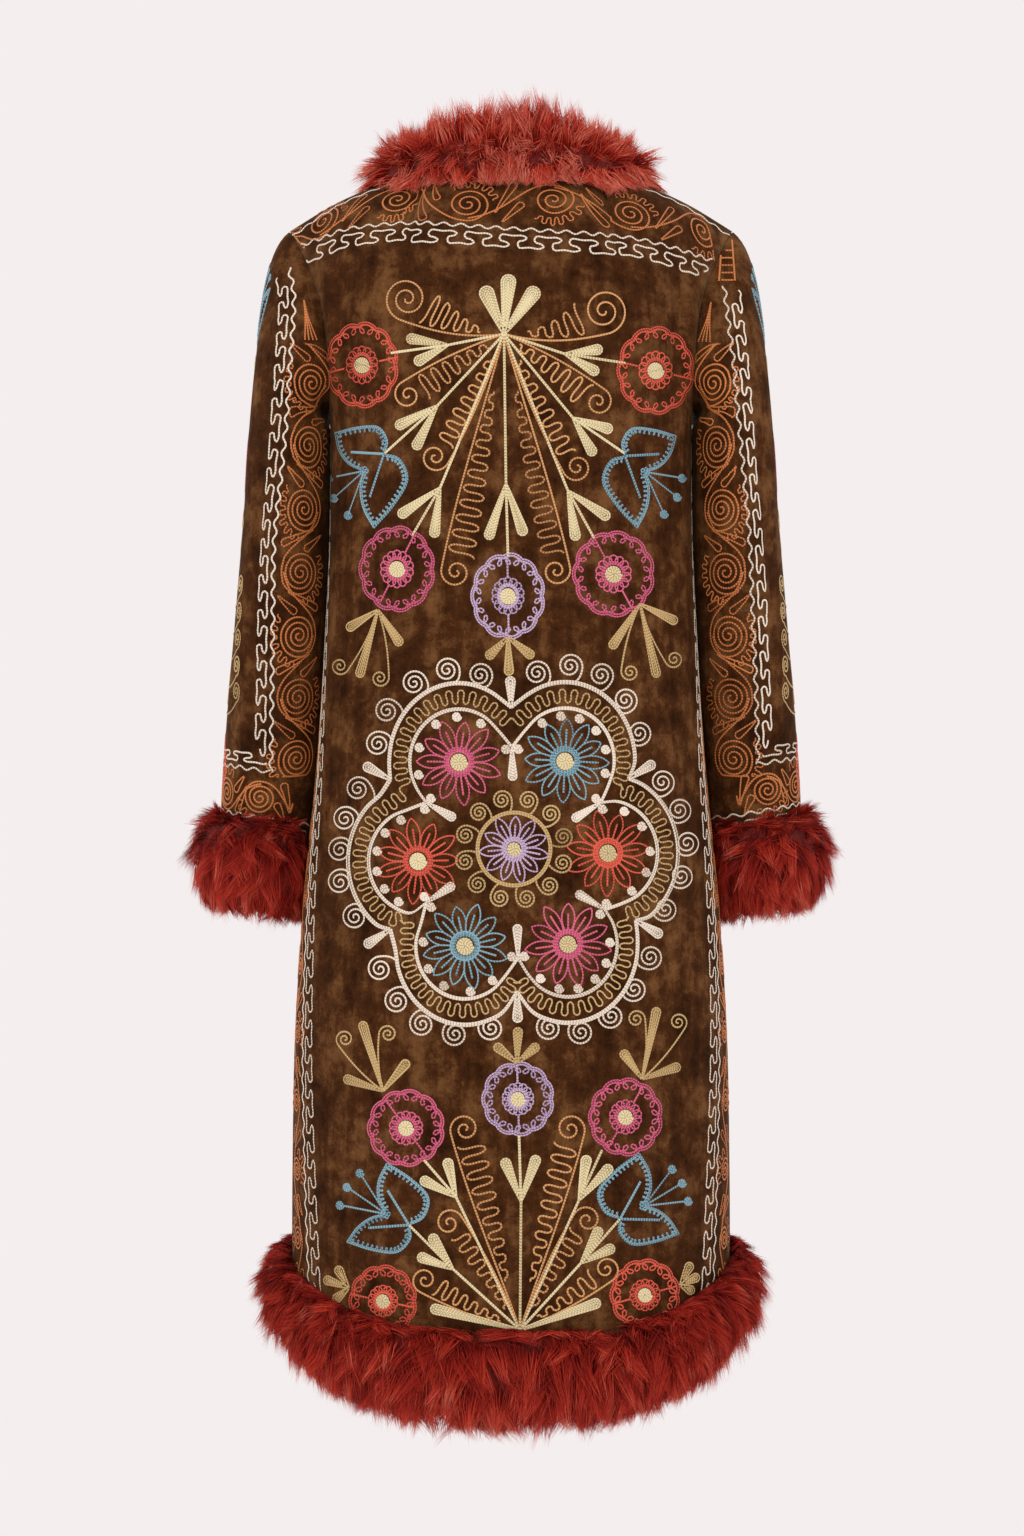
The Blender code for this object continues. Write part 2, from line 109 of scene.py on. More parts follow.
# Soft folds and creases of a panel: ridges and troughs by the panel's own x, height and lean
# Columns: panel, x, top, bottom, lean, half width, rise
FOLDS = [
    ("back", -0.164, -0.075, -0.225, 0.006, 0.0065, 0.0036),
    ("back", -0.149, -0.085, -0.235, 0.004, 0.0075, -0.0034),
    ("back", 0.163, -0.080, -0.205, -0.006, 0.0065, 0.0036),
    ("back", 0.149, -0.090, -0.225, -0.004, 0.0080, -0.0032),
    ("back", -0.090, -0.560, -1.000, -0.020, 0.0260, 0.0030),
    ("back", 0.098, -0.600, -1.020, 0.022, 0.0280, 0.0026),
    ("front", -0.140, -0.090, -0.260, -0.014, 0.0110, -0.0030),
    ("front", 0.142, -0.085, -0.250, 0.012, 0.0110, -0.0030),
    ("front", -0.105, -0.480, -1.010, -0.022, 0.0260, 0.0034),
    ("front", 0.096, -0.520, -1.000, 0.020, 0.0280, 0.0030),
    ("back", -0.118, -0.120, -0.330, 0.016, 0.0080, 0.0014),
    ("back", 0.121, -0.130, -0.310, -0.014, 0.0080, 0.0013),
    ("back", -0.158, -0.225, -0.330, 0.030, 0.0075, -0.0015),
    ("back", -0.146, -0.240, -0.380, 0.026, 0.0085, 0.0013),
    ("back", 0.157, -0.222, -0.315, -0.030, 0.0075, -0.0014),
    ("back", 0.144, -0.235, -0.370, -0.024, 0.0085, 0.0012),
    ("back", -0.050, -0.480, -0.820, -0.012, 0.0210, -0.0014),
    ("back", 0.040, -0.540, -0.900, 0.010, 0.0230, -0.0013),
    ("back", -0.150, -0.430, -0.760, -0.018, 0.0150, -0.0015),
    ("back", 0.152, -0.470, -0.830, 0.016, 0.0160, -0.0014),
    ("back", 0.004, -0.700, -1.030, 0.006, 0.0240, 0.0014),
    ("back", -0.060, -0.330, -0.520, 0.014, 0.0180, 0.0009),
    ("back", 0.072, -0.350, -0.560, -0.012, 0.0170, 0.0009),
    ("front", -0.155, -0.225, -0.340, 0.028, 0.0080, -0.0015),
    ("front", -0.144, -0.240, -0.390, 0.022, 0.0090, 0.0014),
    ("front", 0.154, -0.220, -0.330, -0.026, 0.0080, -0.0014),
    ("front", 0.143, -0.235, -0.370, -0.022, 0.0090, 0.0013),
    ("front", -0.060, -0.300, -0.620, -0.010, 0.0190, -0.0013),
    ("front", 0.056, -0.330, -0.680, 0.012, 0.0200, -0.0013),
    ("front", -0.152, -0.440, -0.800, -0.016, 0.0160, -0.0015),
    ("front", 0.150, -0.460, -0.780, 0.014, 0.0150, -0.0014),
    ("front", -0.040, -0.640, -1.020, -0.008, 0.0220, 0.0013),
    ("front", 0.038, -0.600, -1.000, 0.010, 0.0210, 0.0013),
]

# Folds of a sleeve
# Columns: angle round the sleeve, top, bottom, half angle, rise
SLEEVE_FOLDS = [
    (0.55, -0.120, -0.330, 0.22, 0.0022),
    (1.05, -0.200, -0.420, 0.20, -0.0020),
    (5.45, -0.140, -0.380, 0.24, 0.0022),
    (4.80, -0.300, -0.520, 0.26, -0.0018),
    (1.85, -0.190, -0.320, 0.16, 0.0012),
    (2.30, -0.230, -0.360, 0.16, -0.0011),
    (1.45, -0.380, -0.560, 0.20, 0.0010),
    (0.75, -0.430, -0.620, 0.22, -0.0010),
    (4.20, -0.210, -0.360, 0.18, 0.0012),
    (5.00, -0.440, -0.620, 0.20, 0.0010),
]

# Fur, from the cloth to the tips of the pile, and how far it reaches above and below its seam. The upper edge
# of the hem's fur dips in the middle of the back, and more at the sides.
HEM_PILE = 0.034
HEM_FUR_TOP = 0.066
HEM_FUR_BOTTOM = -0.030
HEM_DIP_MIDDLE = 0.004
HEM_DIP_SIDES = 0.018
CUFF_PILE = 0.033
CUFF_SEAM = -0.618
CUFF_FUR_TOP = 0.040
CUFF_FUR_BOTTOM = -0.064
CUFF_CLEAR = 0.0016
COLLAR_CLEAR = 0.0032
COLLAR_END_GAP = 0.0012
LAID_FROM = 0.0016
LAID_REACH = 0.085
ABOVE_ALL = 0.5
SEAM_SIDES = 0.001

# The collar's roll, from the centre back round to the front edge
# Columns: degrees round the neck, reach inwards, crown outwards, crown up, spread on the cloth
COLLAR_SECTIONS = [
    (0, 0.014, 0.014, 0.0615, 0.026),
    (35, 0.014, 0.015, 0.0530, 0.034),
    (65, 0.013, 0.018, 0.0420, 0.052),
    (90, 0.012, 0.022, 0.0370, 0.064),
    (120, 0.012, 0.026, 0.0400, 0.062),
    (150, 0.012, 0.026, 0.0380, 0.056),
    (176, 0.010, 0.024, 0.0340, 0.050),
]

# How finely each shell is divided
NECK_COLUMNS = 18
SHOULDER_COLUMNS = 34
HEM_ROWS = 96
TURN_ROWS = 8
SHOULDER_ROWS = 24
CAP_ROWS = 20
ARM_ROWS = 50
PROFILE_STEPS = 24
COLLAR_LAID = 10
COLLAR_RISE = 8

# The sleeves hang against the body, and their seam allowance is tucked under the panels' edges
SLEEVE_REST = 0.0016
SEAM_TUCK = 0.008


def smooth_table(table, at):
    """Each further column of a table, read at the given values of its first column by one smooth curve."""
    rows = np.array(table, float)
    rows = rows[np.argsort(rows[:, 0])]
    knots, values = rows[:, 0], rows[:, 1:]
    slopes = np.gradient(values, knots, axis=0)
    at = np.clip(np.asarray(at, float), knots[0], knots[-1])
    left = np.clip(np.searchsorted(knots, at) - 1, 0, len(knots) - 2)
    width = (knots[left + 1] - knots[left])[..., None]
    t = (at[..., None] - knots[left][..., None]) / width
    low, high = values[left], values[left + 1]
    rise = (2 * t**3 - 3 * t**2 + 1) * low + (3 * t**2 - 2 * t**3) * high
    turn = (t**3 - 2 * t**2 + t) * slopes[left] + (t**3 - t**2) * slopes[left + 1]
    return np.moveaxis(rise + turn * width, -1, 0)


def bezier(p0, p1, p2, p3, t):
    return (1 - t) ** 3 * p0 + 3 * (1 - t) ** 2 * t * p1 + 3 * (1 - t) * t**2 * p2 + t**3 * p3


def points(x, y, z):
    return np.stack(np.broadcast_arrays(x, y, z), axis=-1).astype(float)


def unit(vectors):
    return vectors / np.maximum(np.linalg.norm(vectors, axis=-1, keepdims=True), 1e-12)


def smooth_step(t):
    t = np.clip(t, 0, 1)
    return t * t * (3 - 2 * t)


def run_lengths(path):
    """How far along a path of points each of them is."""
    return np.concatenate([[0], np.cumsum(np.linalg.norm(np.diff(path, axis=0), axis=1))])


def place_at(path, along, distance):
    """The place at a distance along a path, or the places at several."""
    return np.stack([np.interp(distance, along, path[:, i]) for i in range(3)], axis=-1)


def body_section(angle, height, back):
    """The level section at a height. Angle 0 is the wearer's left side, a quarter turn the middle."""
    half_width, back_depth, front_depth, squareness = smooth_table(BODY_SECTIONS, height)
    depth = back_depth if back else -front_depth
    cosine, sine = np.cos(angle), np.sin(angle)
    x = half_width * np.sign(cosine) * np.abs(cosine) ** (2 / squareness)
    y = depth * np.abs(sine) ** (2 / squareness)
    return points(x, y, height)


def half_columns():
    """The columns of half a panel: 0 on the middle, NECK_SHARE at the side neck point, 1 on the side."""
    neck = np.linspace(0, NECK_SHARE, NECK_COLUMNS + 1)
    return np.concatenate([neck, np.linspace(NECK_SHARE, 1, SHOULDER_COLUMNS + 1)[1:]])


def hem_height(across):
    """The hem's edge: lowest at the centre back and centre front, higher at the sides."""
    return HEM_CLOTH - HEM_DIP / 2 * np.cos(math.pi * np.abs(across) ** 1.25)


def top_edge(across, back):
    """Where a panel's columns end: on the neckline near the middle, then along the shoulder seam."""
    side = np.sign(across)
    amount = np.abs(across)
    turn = np.clip(amount / NECK_SHARE, 0, 1) * QUARTER
    along = np.clip((amount - NECK_SHARE) / (1 - NECK_SHARE), 0, 1)
    depth = NECK_BACK if back else -NECK_FRONT
    drop = BACK_NECK_DROP if back else FRONT_NECK_DROP
    x = NECK_HALF_WIDTH * np.sin(turn) + (SHOULDER_POINT - NECK_HALF_WIDTH) * along
    y = depth * np.cos(turn) + (SEAM_GAP if back else -SEAM_GAP)
    z = -drop * np.cos(turn) ** (1 if back else 1.4) - SHOULDER_DROP * along**SHOULDER_BOW
    return points(side * x, y, z)


def top_handle(across, back):
    """The way a column runs back from the top edge: down the neck in the middle, level on the shoulder."""
    amount = np.clip(np.abs(across) / NECK_SHARE, 0, 1)
    blend = smooth_step(amount)
    reach = 0.052 + 0.016 * blend - 0.030 * smooth_step((np.abs(across) - 0.75) / 0.25)
    y = (0.45 + 0.55 * blend) if back else -(0.30 + 0.70 * blend)
    z = -0.90 + (0.78 if back else 0.74) * blend
    return unit(points(0 * across, y, z)) * reach[..., None]


def fold_rise(panel, place):
    """How far the folds and creases stand off a panel at each point."""
    x, z = place[..., 0], place[..., 2]
    rise = np.zeros(x.shape)
    for name, at, top, bottom, lean, half_width, height in FOLDS:
        if name != panel:
            continue
        along = (z - top) / (bottom - top)
        beside = (x - at - lean * along) / half_width
        window = smooth_step(along / 0.35) * smooth_step((1 - along) / 0.35)
        rise += height * window * np.exp(-(beside**2))
    return rise


def grid_normals(place):
    along = np.gradient(place, axis=1)
    down = np.gradient(place, axis=0)
    return unit(np.cross(along, down))


def panel_normals(grid, across, back):
    """A panel's normals. On its side and shoulder seams they lie in the seam's plane, for square edges."""
    out = grid_normals(grid)
    out *= np.sign(out[HEM_ROWS, np.argmin(np.abs(across)), 1]) * (1 if back else -1)
    on_side = np.abs(across) > 1 - 1e-9
    on_shoulder = np.abs(across) > NECK_SHARE - 1e-9
    on_front_edge = (np.abs(across) < 1e-9) & (not back)
    out[: HEM_ROWS + 1, on_side, 1] = 0
    out[-1, on_shoulder, 1] = 0
    out[:, on_front_edge, 0] = 0
    return unit(out)


def panel_grid(across, back):
    """A panel's outer surface, row by row from the hem to the top edge. Across is -1 to 1 over the body."""
    start = BACK_ARMHOLE if back else FRONT_ARMHOLE
    rows = []
    for share in np.linspace(0, 1, HEM_ROWS + 1):
        height = hem_height(across) * (1 - share) + UNDERARM * share
        rows.append(body_section(QUARTER - across * QUARTER, height, back))
    for beta in np.linspace(0, QUARTER, TURN_ROWS + 1)[1:]:
        height = UNDERARM + ARMHOLE_TURN * (1 - math.cos(beta))
        edge = start * math.sin(beta)
        rows.append(body_section(QUARTER - across * (QUARTER - edge), height + 0 * across, back))
    low, high = rows[-1], top_edge(across, back)
    rise = high[:, 2:] - low[:, 2:]
    first = low + points(0 * across, 0.0 if back else -CHEST_SWELL, 0.52 * rise[:, 0])
    last = high + top_handle(across, back)
    for t in np.linspace(0, 1, SHOULDER_ROWS + 1)[1:]:
        rows.append(bezier(low, first, last, high, t))
    grid = np.array(rows)
    out = panel_normals(grid, across, back)
    grid += out * fold_rise("back" if back else "front", grid)[..., None]
    grid[: HEM_ROWS + 1, :, 1] += SEAM_GAP / 2 if back else -SEAM_GAP / 2
    return grid


def armhole_loop(side):
    """The armhole's edge, from the shoulder point down the back to the underarm and up the front again.

    With it come the points a little way in on the panels, and the panels' normals along the edge.
    """
    across = np.array([side * 0.9, side * 1.0])
    parts = []
    for back in (True, False):
        grid = panel_grid(across, back)
        normals = panel_normals(grid, across, back)
        both = np.concatenate([grid, normals], axis=1)[HEM_ROWS:]
        parts.append(both[::-1] if back else both[1:])
    joined = np.concatenate(parts)
    return joined[:, 1], joined[:, 0], joined[:, 3]


def sleeve_ring(angle, height, side):
    """Points of the sleeve at a height. Angle 0 is its outer side, a quarter turn its back."""
    middle_x, middle_y, half_x, half_y = smooth_table(SLEEVE_SECTIONS, height)
    x = middle_x + half_x * np.cos(angle)
    y = middle_y + half_y * np.sin(angle)
    tilt = WRIST_TILT * smooth_step((SLEEVE_BEND - height) / (SLEEVE_BEND - SLEEVE_END))
    z = height + tilt * half_x * np.cos(angle)
    return points(side * x, y, z)


def ring_angles(loop):
    """Each armhole point's angle on the sleeve: no turn at the shoulder, half a turn at the underarm."""
    half = len(loop) // 2
    first = run_lengths(loop[: half + 1])
    second = run_lengths(loop[half:])
    return np.concatenate([first / first[-1], 1 + second[1:] / second[-1]]) * math.pi


def sleeve_grid(side):
    """The sleeve's outer surface, ring by ring from armhole to wrist, and the angle of each column."""
    loop, inner, normals = armhole_loop(side)
    angle = ring_angles(loop)
    bend = sleeve_ring(angle, SLEEVE_BEND + 0 * angle, side)
    below = sleeve_ring(angle, SLEEVE_BEND - 0.01 + 0 * angle, side)
    upper = (1 + np.cos(angle)) / 2
    outward = points(side * (0.35 + 0.45 * upper), 0.55 * np.sin(angle), -0.62 * upper + 0.10 * (1 - upper))
    outward = unit(outward)
    turn = np.einsum("ij,ij->i", unit(loop - inner), outward)
    inwards = np.einsum("ij,ij->i", normals, outward) < 0
    half_turn = inwards * np.sqrt(np.clip((1 - turn) / 2, 0, 1))
    start = loop + outward * ((2 + inwards) * SEAM_GAP + 2.6 * CLOTH * half_turn)[:, None]
    reach = (0.014 + 0.022 * upper)[:, None]
    drop = (0.012 + 0.078 * upper)[:, None]
    rows = [
        bezier(start, start + outward * reach, bend + unit(bend - below) * drop, bend, t)
        for t in np.linspace(0, 1, CAP_ROWS + 1)
    ]
    for share in np.linspace(0, 1, ARM_ROWS + 1)[1:]:
        height = SLEEVE_BEND + (SLEEVE_END - SLEEVE_BEND) * share
        rows.append(sleeve_ring(angle, height + 0 * angle, side))
    grid = np.array(rows)
    out = points(side * np.cos(angle), np.sin(angle), 0 * angle)
    for at, top, bottom, half_angle, rise in SLEEVE_FOLDS:
        along = (grid[..., 2] - top) / (bottom - top)
        window = smooth_step(along / 0.35) * smooth_step((1 - along) / 0.35)
        grid += out * (rise * window * np.exp(-(((angle - at) / half_angle) ** 2)))[..., None]
    clear = side * grid[..., 0] - body_side(grid)
    hanging = smooth_step((UNDERARM - 0.002 - grid[..., 2]) / 0.018)
    inner_side = ((1 - np.cos(angle)) / 2) ** 2
    shift = np.maximum(clear[:, 3 * len(angle) // 8 : 5 * len(angle) // 8].min(axis=1) + 0.003, 0)[:, None]
    moved = side * grid[..., 0] - shift * hanging * inner_side
    resting = np.maximum(moved, body_side(grid) + SLEEVE_REST)
    grid[..., 0] = side * (moved + (resting - moved) * hanging)
    return grid, angle


def tucked_rows(side):
    """The sleeve's seam allowance: two rings that turn in at the armhole and lie under the panels' edges."""
    loop, inner, normals = armhole_loop(side)
    under = normals * (CLOTH + 0.0008)
    return np.array([loop + unit(inner - loop) * SEAM_TUCK - under, loop - under])


def wall_profile(pile, top, bottom):
    """A fur band's section as (off the cloth, up): flat against the cloth, round outside."""
    turn = np.linspace(0, 2 * math.pi, PROFILE_STEPS + 1)
    cosine, sine = np.cos(turn), np.sin(turn)
    off = pile * np.where(cosine > 0, cosine, 0)
    up = (top + bottom) / 2 + (top - bottom) / 2 * sine
    return off, up


def hem_fur_grid(off, up):
    """The hem's fur band, round the body from one front edge to the other."""
    half = half_columns()[::2]
    back = np.concatenate([half[::-1], -half[1:]])
    across = np.concatenate([half, back[1:], -half[::-1][1:]])
    is_back = np.zeros(len(across), bool)
    is_back[len(half) - 1 : len(half) - 1 + len(back)] = True
    rows = []
    dip = HEM_DIP_MIDDLE + (HEM_DIP_SIDES - HEM_DIP_MIDDLE) * np.abs(np.sin(across * QUARTER))
    for o, u in zip(off, up):
        share = np.clip((u - HEM_FUR_BOTTOM) / (HEM_FUR_TOP - HEM_FUR_BOTTOM), 0, 1)
        height = hem_height(across) + u - dip * share
        skin = body_section(QUARTER - across * QUARTER, height, True)
        front_skin = body_section(QUARTER - across * QUARTER, height, False)
        skin[~is_back] = front_skin[~is_back]
        ends = np.abs(across) < 1e-9
        skin[ends & ~is_back, 0] = np.array([1, -1]) * FRONT_GAP
        out = unit(np.gradient(skin, axis=0)[:, [1, 0, 2]] * np.array([-1, 1, 0]))
        out *= np.sign(np.einsum("ij,ij->i", out, skin * np.array([1, 1, 0])))[:, None]
        out[ends & ~is_back] = (0, -1, 0)
        rows.append(skin + out * (FUR_SEAT + SEAM_GAP + o))
    return np.array(rows)


def body_side(place):
    """How far from the middle the body's cloth is, at each point's own depth and height."""
    half_width, back_depth, front_depth, squareness = smooth_table(BODY_SECTIONS, place[..., 2])
    depth = np.where(place[..., 1] > 0, back_depth, front_depth)
    share = np.clip(np.abs(place[..., 1]) / depth, 0, 1)
    return half_width * (1 - share**squareness) ** (1 / squareness)


def cuff_fur_grid(off, up, side):
    """A fur cuff round the wrist. Its pile lies flat where it meets the body."""
    angle = np.linspace(0, 2 * math.pi, 61)
    out = points(side * np.cos(angle), np.sin(angle), 0 * angle)
    rows = []
    for o, u in zip(off, up):
        skin = sleeve_ring(angle, CUFF_SEAM + u + 0 * angle, side)
        rows.append(skin + out * (FUR_SEAT + o))
    grid = np.array(rows)
    grid[..., 0] = side * np.maximum(side * grid[..., 0], body_side(grid) + CUFF_CLEAR)
    return grid


def neck_corners():
    """The neckline's corners, from the right front end round the back to the left front end."""
    half = np.linspace(0, NECK_SHARE, NECK_COLUMNS + 1)
    right_front = top_edge(-half, False)
    back = top_edge(np.concatenate([-half[::-1], half[1:]]), True)
    left_front = top_edge(half[::-1], False)
    return np.concatenate([right_front[:-1], back, left_front[1:]])


def collar_grid(trees):
    """The fur collar, ring by ring round the neck: its laid underside, then its outside from foot to rim."""
    necks = neck_corners()
    necks[0, 0], necks[-1, 0] = -COLLAR_END_GAP, COLLAR_END_GAP
    up = np.array([0, 0, 1.0])
    unders, overs = [], []
    for neck in necks:
        out = unit(neck * (1, 1, 0))
        around = abs(math.degrees(math.atan2(neck[0], neck[1])))
        inwards, crown_out, crown_up, spread = smooth_table(COLLAR_SECTIONS, around)
        places, normals = [neck], []
        for reach in LAID_FROM + np.linspace(0, 1, 30) ** 1.5 * LAID_REACH:
            over = neck + out * reach
            starts = [Vector((over[0], over[1] + y, ABOVE_ALL)) for y in (-SEAM_SIDES, SEAM_SIDES)]
            casts = [tree.ray_cast(start, Vector((0, 0, -1))) for tree in trees for start in starts]
            hits = [cast for cast in casts if cast[0]]
            if hits:
                hit, normal = max(hits, key=lambda cast: cast[0].z)[:2]
                places.append((*over[:2], hit.z))
                normals.append(normal if normal.z > 0 else -normal)
        places, normals = np.array(places), np.array(normals[:1] + normals)
        along = run_lengths(places)
        under = place_at(places + normals * COLLAR_CLEAR, along, np.linspace(0, spread, COLLAR_LAID))
        leave = place_at(normals, along, spread)
        foot = neck - out * inwards + up * COLLAR_CLEAR
        crown = neck + out * crown_out + up * crown_up
        rim = under[-1]
        t = np.linspace(0, 1, COLLAR_RISE + 1)[:, None]
        rise = bezier(foot, foot + up * 0.6 * crown_up, crown - out * 0.5 * (crown_out + inwards), crown, t)
        width = np.linalg.norm((rim - crown)[:2])
        fall = bezier(crown, crown + out * 0.6 * width, rim + leave * 0.5 * (crown[2] - rim[2]), rim, t)
        unders.append(np.concatenate([[foot], under]))
        overs.append(np.concatenate([rise, fall[1:]]))
    return np.array(unders).transpose(1, 0, 2), np.array(overs).transpose(1, 0, 2)


def sheet_bmesh(grid, wrap_rows=False, wrap_columns=False):
    """A sheet on a grid of points, welded where it runs round. Each point keeps its number."""
    rows, columns = grid.shape[:2]
    bm = bmesh.new()
    number = bm.verts.layers.int.new("number")
    bmesh.ops.create_grid(bm, x_segments=columns - 1, y_segments=rows - 1, size=1)
    for index, (vert, place) in enumerate(zip(bm.verts, grid.reshape(-1, 3))):
        vert.co = place
        vert[number] = index
    if wrap_rows or wrap_columns:
        bmesh.ops.remove_doubles(bm, verts=bm.verts, dist=1e-5)
    return bm


def finish_piece(bm, name, look, replaced):
    """The piece made of this mesh, with its normals turned out."""
    bmesh.ops.recalc_face_normals(bm, faces=bm.faces)
    mesh = bpy.data.meshes.new(name)
    bm.to_mesh(mesh)
    bm.free()
    return add_piece(name, mesh, look, replaced)


def add_piece(name, mesh, look, replaced=()):
    """A piece rides with the coat, takes the given material, and hides the parts that it replaces."""
    piece = bpy.data.objects.new(name, mesh)
    mesh.materials.append(look)
    mesh.shade_smooth()
    bpy.context.scene.collection.objects.link(piece)
    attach(piece, "root")
    if replaced:
        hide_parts(*replaced)
    return piece


def joined_triangles(name, places, triangles, notes, look):
    """Many small things in one mesh. Notes are attributes: a name, and a value or three for each vertex."""
    mesh = bpy.data.meshes.new(name)
    mesh.vertices.add(len(places))
    mesh.vertices.foreach_set("co", places.astype(np.float32).ravel())
    mesh.loops.add(triangles.size)
    mesh.loops.foreach_set("vertex_index", triangles.astype(np.int32).ravel())
    mesh.polygons.add(len(triangles))
    mesh.polygons.foreach_set("loop_start", np.arange(0, triangles.size, 3, dtype=np.int32))
    for note, values in notes.items():
        kind, field = ("FLOAT", "value") if values.ndim == 1 else ("FLOAT_VECTOR", "vector")
        layer = mesh.attributes.new(note, kind, "POINT")
        layer.data.foreach_set(field, values.astype(np.float32).ravel())
    mesh.update()
    return add_piece(name, mesh, look)


# Materials


def linear(code):
    """An sRGB hex colour as the shader takes it."""
    shares = [int(code[i : i + 2], 16) / 255 for i in (1, 3, 5)]
    return [s / 12.92 if s <= 0.04045 else ((s + 0.055) / 1.055) ** 2.4 for s in shares] + [1]


def node(tree, kind, settings=None, **links):
    """Adds a node. Settings are its own properties, and links its inputs: values, or other nodes' sockets."""
    made = tree.nodes.new(kind)
    for name, value in (settings or {}).items():
        setattr(made, name, value)
    for name, value in links.items():
        socket = made.inputs[int(name[1:]) if name[1:].isdigit() else name.replace("_", " ")]
        if isinstance(value, bpy.types.NodeSocket):
            tree.links.new(value, socket)
        else:
            socket.default_value = value
    return made


def new_material(name, **constants):
    """A material with its shader, whose constants sit on its own sockets."""
    made = bpy.data.materials.new(name)
    made.use_nodes = True
    shader = made.node_tree.nodes["Principled BSDF"]
    for socket, value in constants.items():
        shader.inputs[socket.replace("_", " ")].default_value = value
    return made, made.node_tree, shader


def set_ramp(ramp, stops):
    """Colour stops as (place, hex colour)."""
    elements = ramp.color_ramp.elements
    while len(elements) < len(stops):
        elements.new(0.5)
    for element, (place, code) in zip(elements, stops):
        element.position = place
        element.color = linear(code)


# The suede's nap in layers of noise: clouds, streaks, strokes and grain
# Columns: whether it is brushed downwards, size of its marks, detail, roughness, distortion, share
NAP_LAYERS = [
    (False, 0.038, 5.0, 0.66, 0.0, 1.0),
    (True, 0.013, 3.0, 0.60, 0.0, 0.45),
    (False, 0.014, 3.0, 0.60, 0.9, 0.45),
    (False, 0.0016, 3.0, 0.70, 0.0, 0.30),
]
STROKES = 2
BRUSHED = (1.0, 1.0, 0.14)


def suede_material():
    """Suede: split hide with a brushed nap. It shines a little at grazing angles; worn nap and painted sheen
    pale it at seams.
    """
    made, tree, shader = new_material("brushed_suede", Roughness=0.9, Sheen_Weight=0.16, Sheen_Roughness=0.35,
                                      Sheen_Tint=linear("#B08A62"))
    shader.inputs["Specular IOR Level"].default_value = 0.05
    place = node(tree, "ShaderNodeTexCoord").outputs["Object"]
    brushed = node(tree, "ShaderNodeVectorMath", {"operation": "MULTIPLY"}, _0=place, _1=BRUSHED)
    layers, mixed = [], 0.0
    for is_brushed, size, detail, roughness, distortion, share in NAP_LAYERS:
        marks = node(tree, "ShaderNodeTexNoise", Vector=brushed.outputs[0] if is_brushed else place,
                     Scale=1 / size, Detail=detail, Roughness=roughness, Distortion=distortion)
        layers.append(marks.outputs["Fac"])
        mixed = node(tree, "ShaderNodeMath", {"operation": "MULTIPLY_ADD"}, _0=layers[-1], _1=share,
                     _2=mixed).outputs[0]
    # Paler at cut edges and seams: partly worn nap, partly painted sheen in the pale colour of lit nap
    wear_and_sheen = node(tree, "ShaderNodeAttribute", {"attribute_name": "wear_and_sheen"}).outputs["Fac"]
    spread = node(tree, "ShaderNodeMapRange", Value=mixed, From_Min=0.89, From_Max=1.34)
    ramp = node(tree, "ShaderNodeValToRGB", Fac=spread.outputs[0])
    set_ramp(ramp, [(0.0, "#281305"), (0.45, "#42240F"), (1.0, "#6E4929")])
    rubbed_and_sheen = node(tree, "ShaderNodeMath", {"operation": "MULTIPLY"}, _0=wear_and_sheen, _1=layers[STROKES])
    colour = node(tree, "ShaderNodeMix", {"data_type": "RGBA"}, _0=rubbed_and_sheen.outputs[0],
                  _6=ramp.outputs["Color"], _7=linear("#8E7056"))
    bump = node(tree, "ShaderNodeBump", Strength=0.35, Distance=0.0006, Height=mixed)
    tree.links.new(colour.outputs[2], shader.inputs["Base Color"])
    tree.links.new(bump.outputs["Normal"], shader.inputs["Normal"])
    return made


# Half the length of a chain stitch, in millimetres
HALF_STITCH = 1.3


def thread_material(name, dark, light):
    """Silk thread in chain stitch: a smooth twist with a soft gloss, in links that pinch it at each end.

    The stitch attribute is the distance along the thread, the side across it, and the thread's own shade.
    """
    made, tree, shader = new_material(name, Roughness=0.42, Sheen_Weight=0.05)
    shader.inputs["Specular IOR Level"].default_value = 0.3
    stitch = node(tree, "ShaderNodeAttribute", {"attribute_name": "stitch"}).outputs["Vector"]
    parts = node(tree, "ShaderNodeSeparateXYZ", Vector=stitch)
    slant = node(tree, "ShaderNodeMath", {"operation": "ABSOLUTE"}, _0=parts.outputs["Y"])
    phase = node(tree, "ShaderNodeMath", {"operation": "MULTIPLY_ADD"}, _0=slant.outputs[0], _1=-0.9,
                 _2=parts.outputs["X"])
    link = node(tree, "ShaderNodeMath", {"operation": "PINGPONG"}, _0=phase.outputs[0], _1=HALF_STITCH)
    round_link = node(tree, "ShaderNodeMapRange", Value=link.outputs[0], From_Max=HALF_STITCH, To_Min=0.15,
                      To_Max=1.0)
    shade = node(tree, "ShaderNodeMath", {"operation": "MULTIPLY_ADD", "use_clamp": True},
                 _0=parts.outputs["Z"], _1=0.45, _2=round_link.outputs[0])
    # The ramp paints shade at each link's pinched ends and light on its middle: each thread's two colours are
    # its colour in the shade and in the light
    ramp = node(tree, "ShaderNodeValToRGB", Fac=shade.outputs[0])
    set_ramp(ramp, [(0.15, dark), (0.8, light)])
    bump = node(tree, "ShaderNodeBump", Strength=0.6, Distance=0.0004, Height=round_link.outputs[0])
    tree.links.new(ramp.outputs["Color"], shader.inputs["Base Color"])
    tree.links.new(bump.outputs["Normal"], shader.inputs["Normal"])
    return made


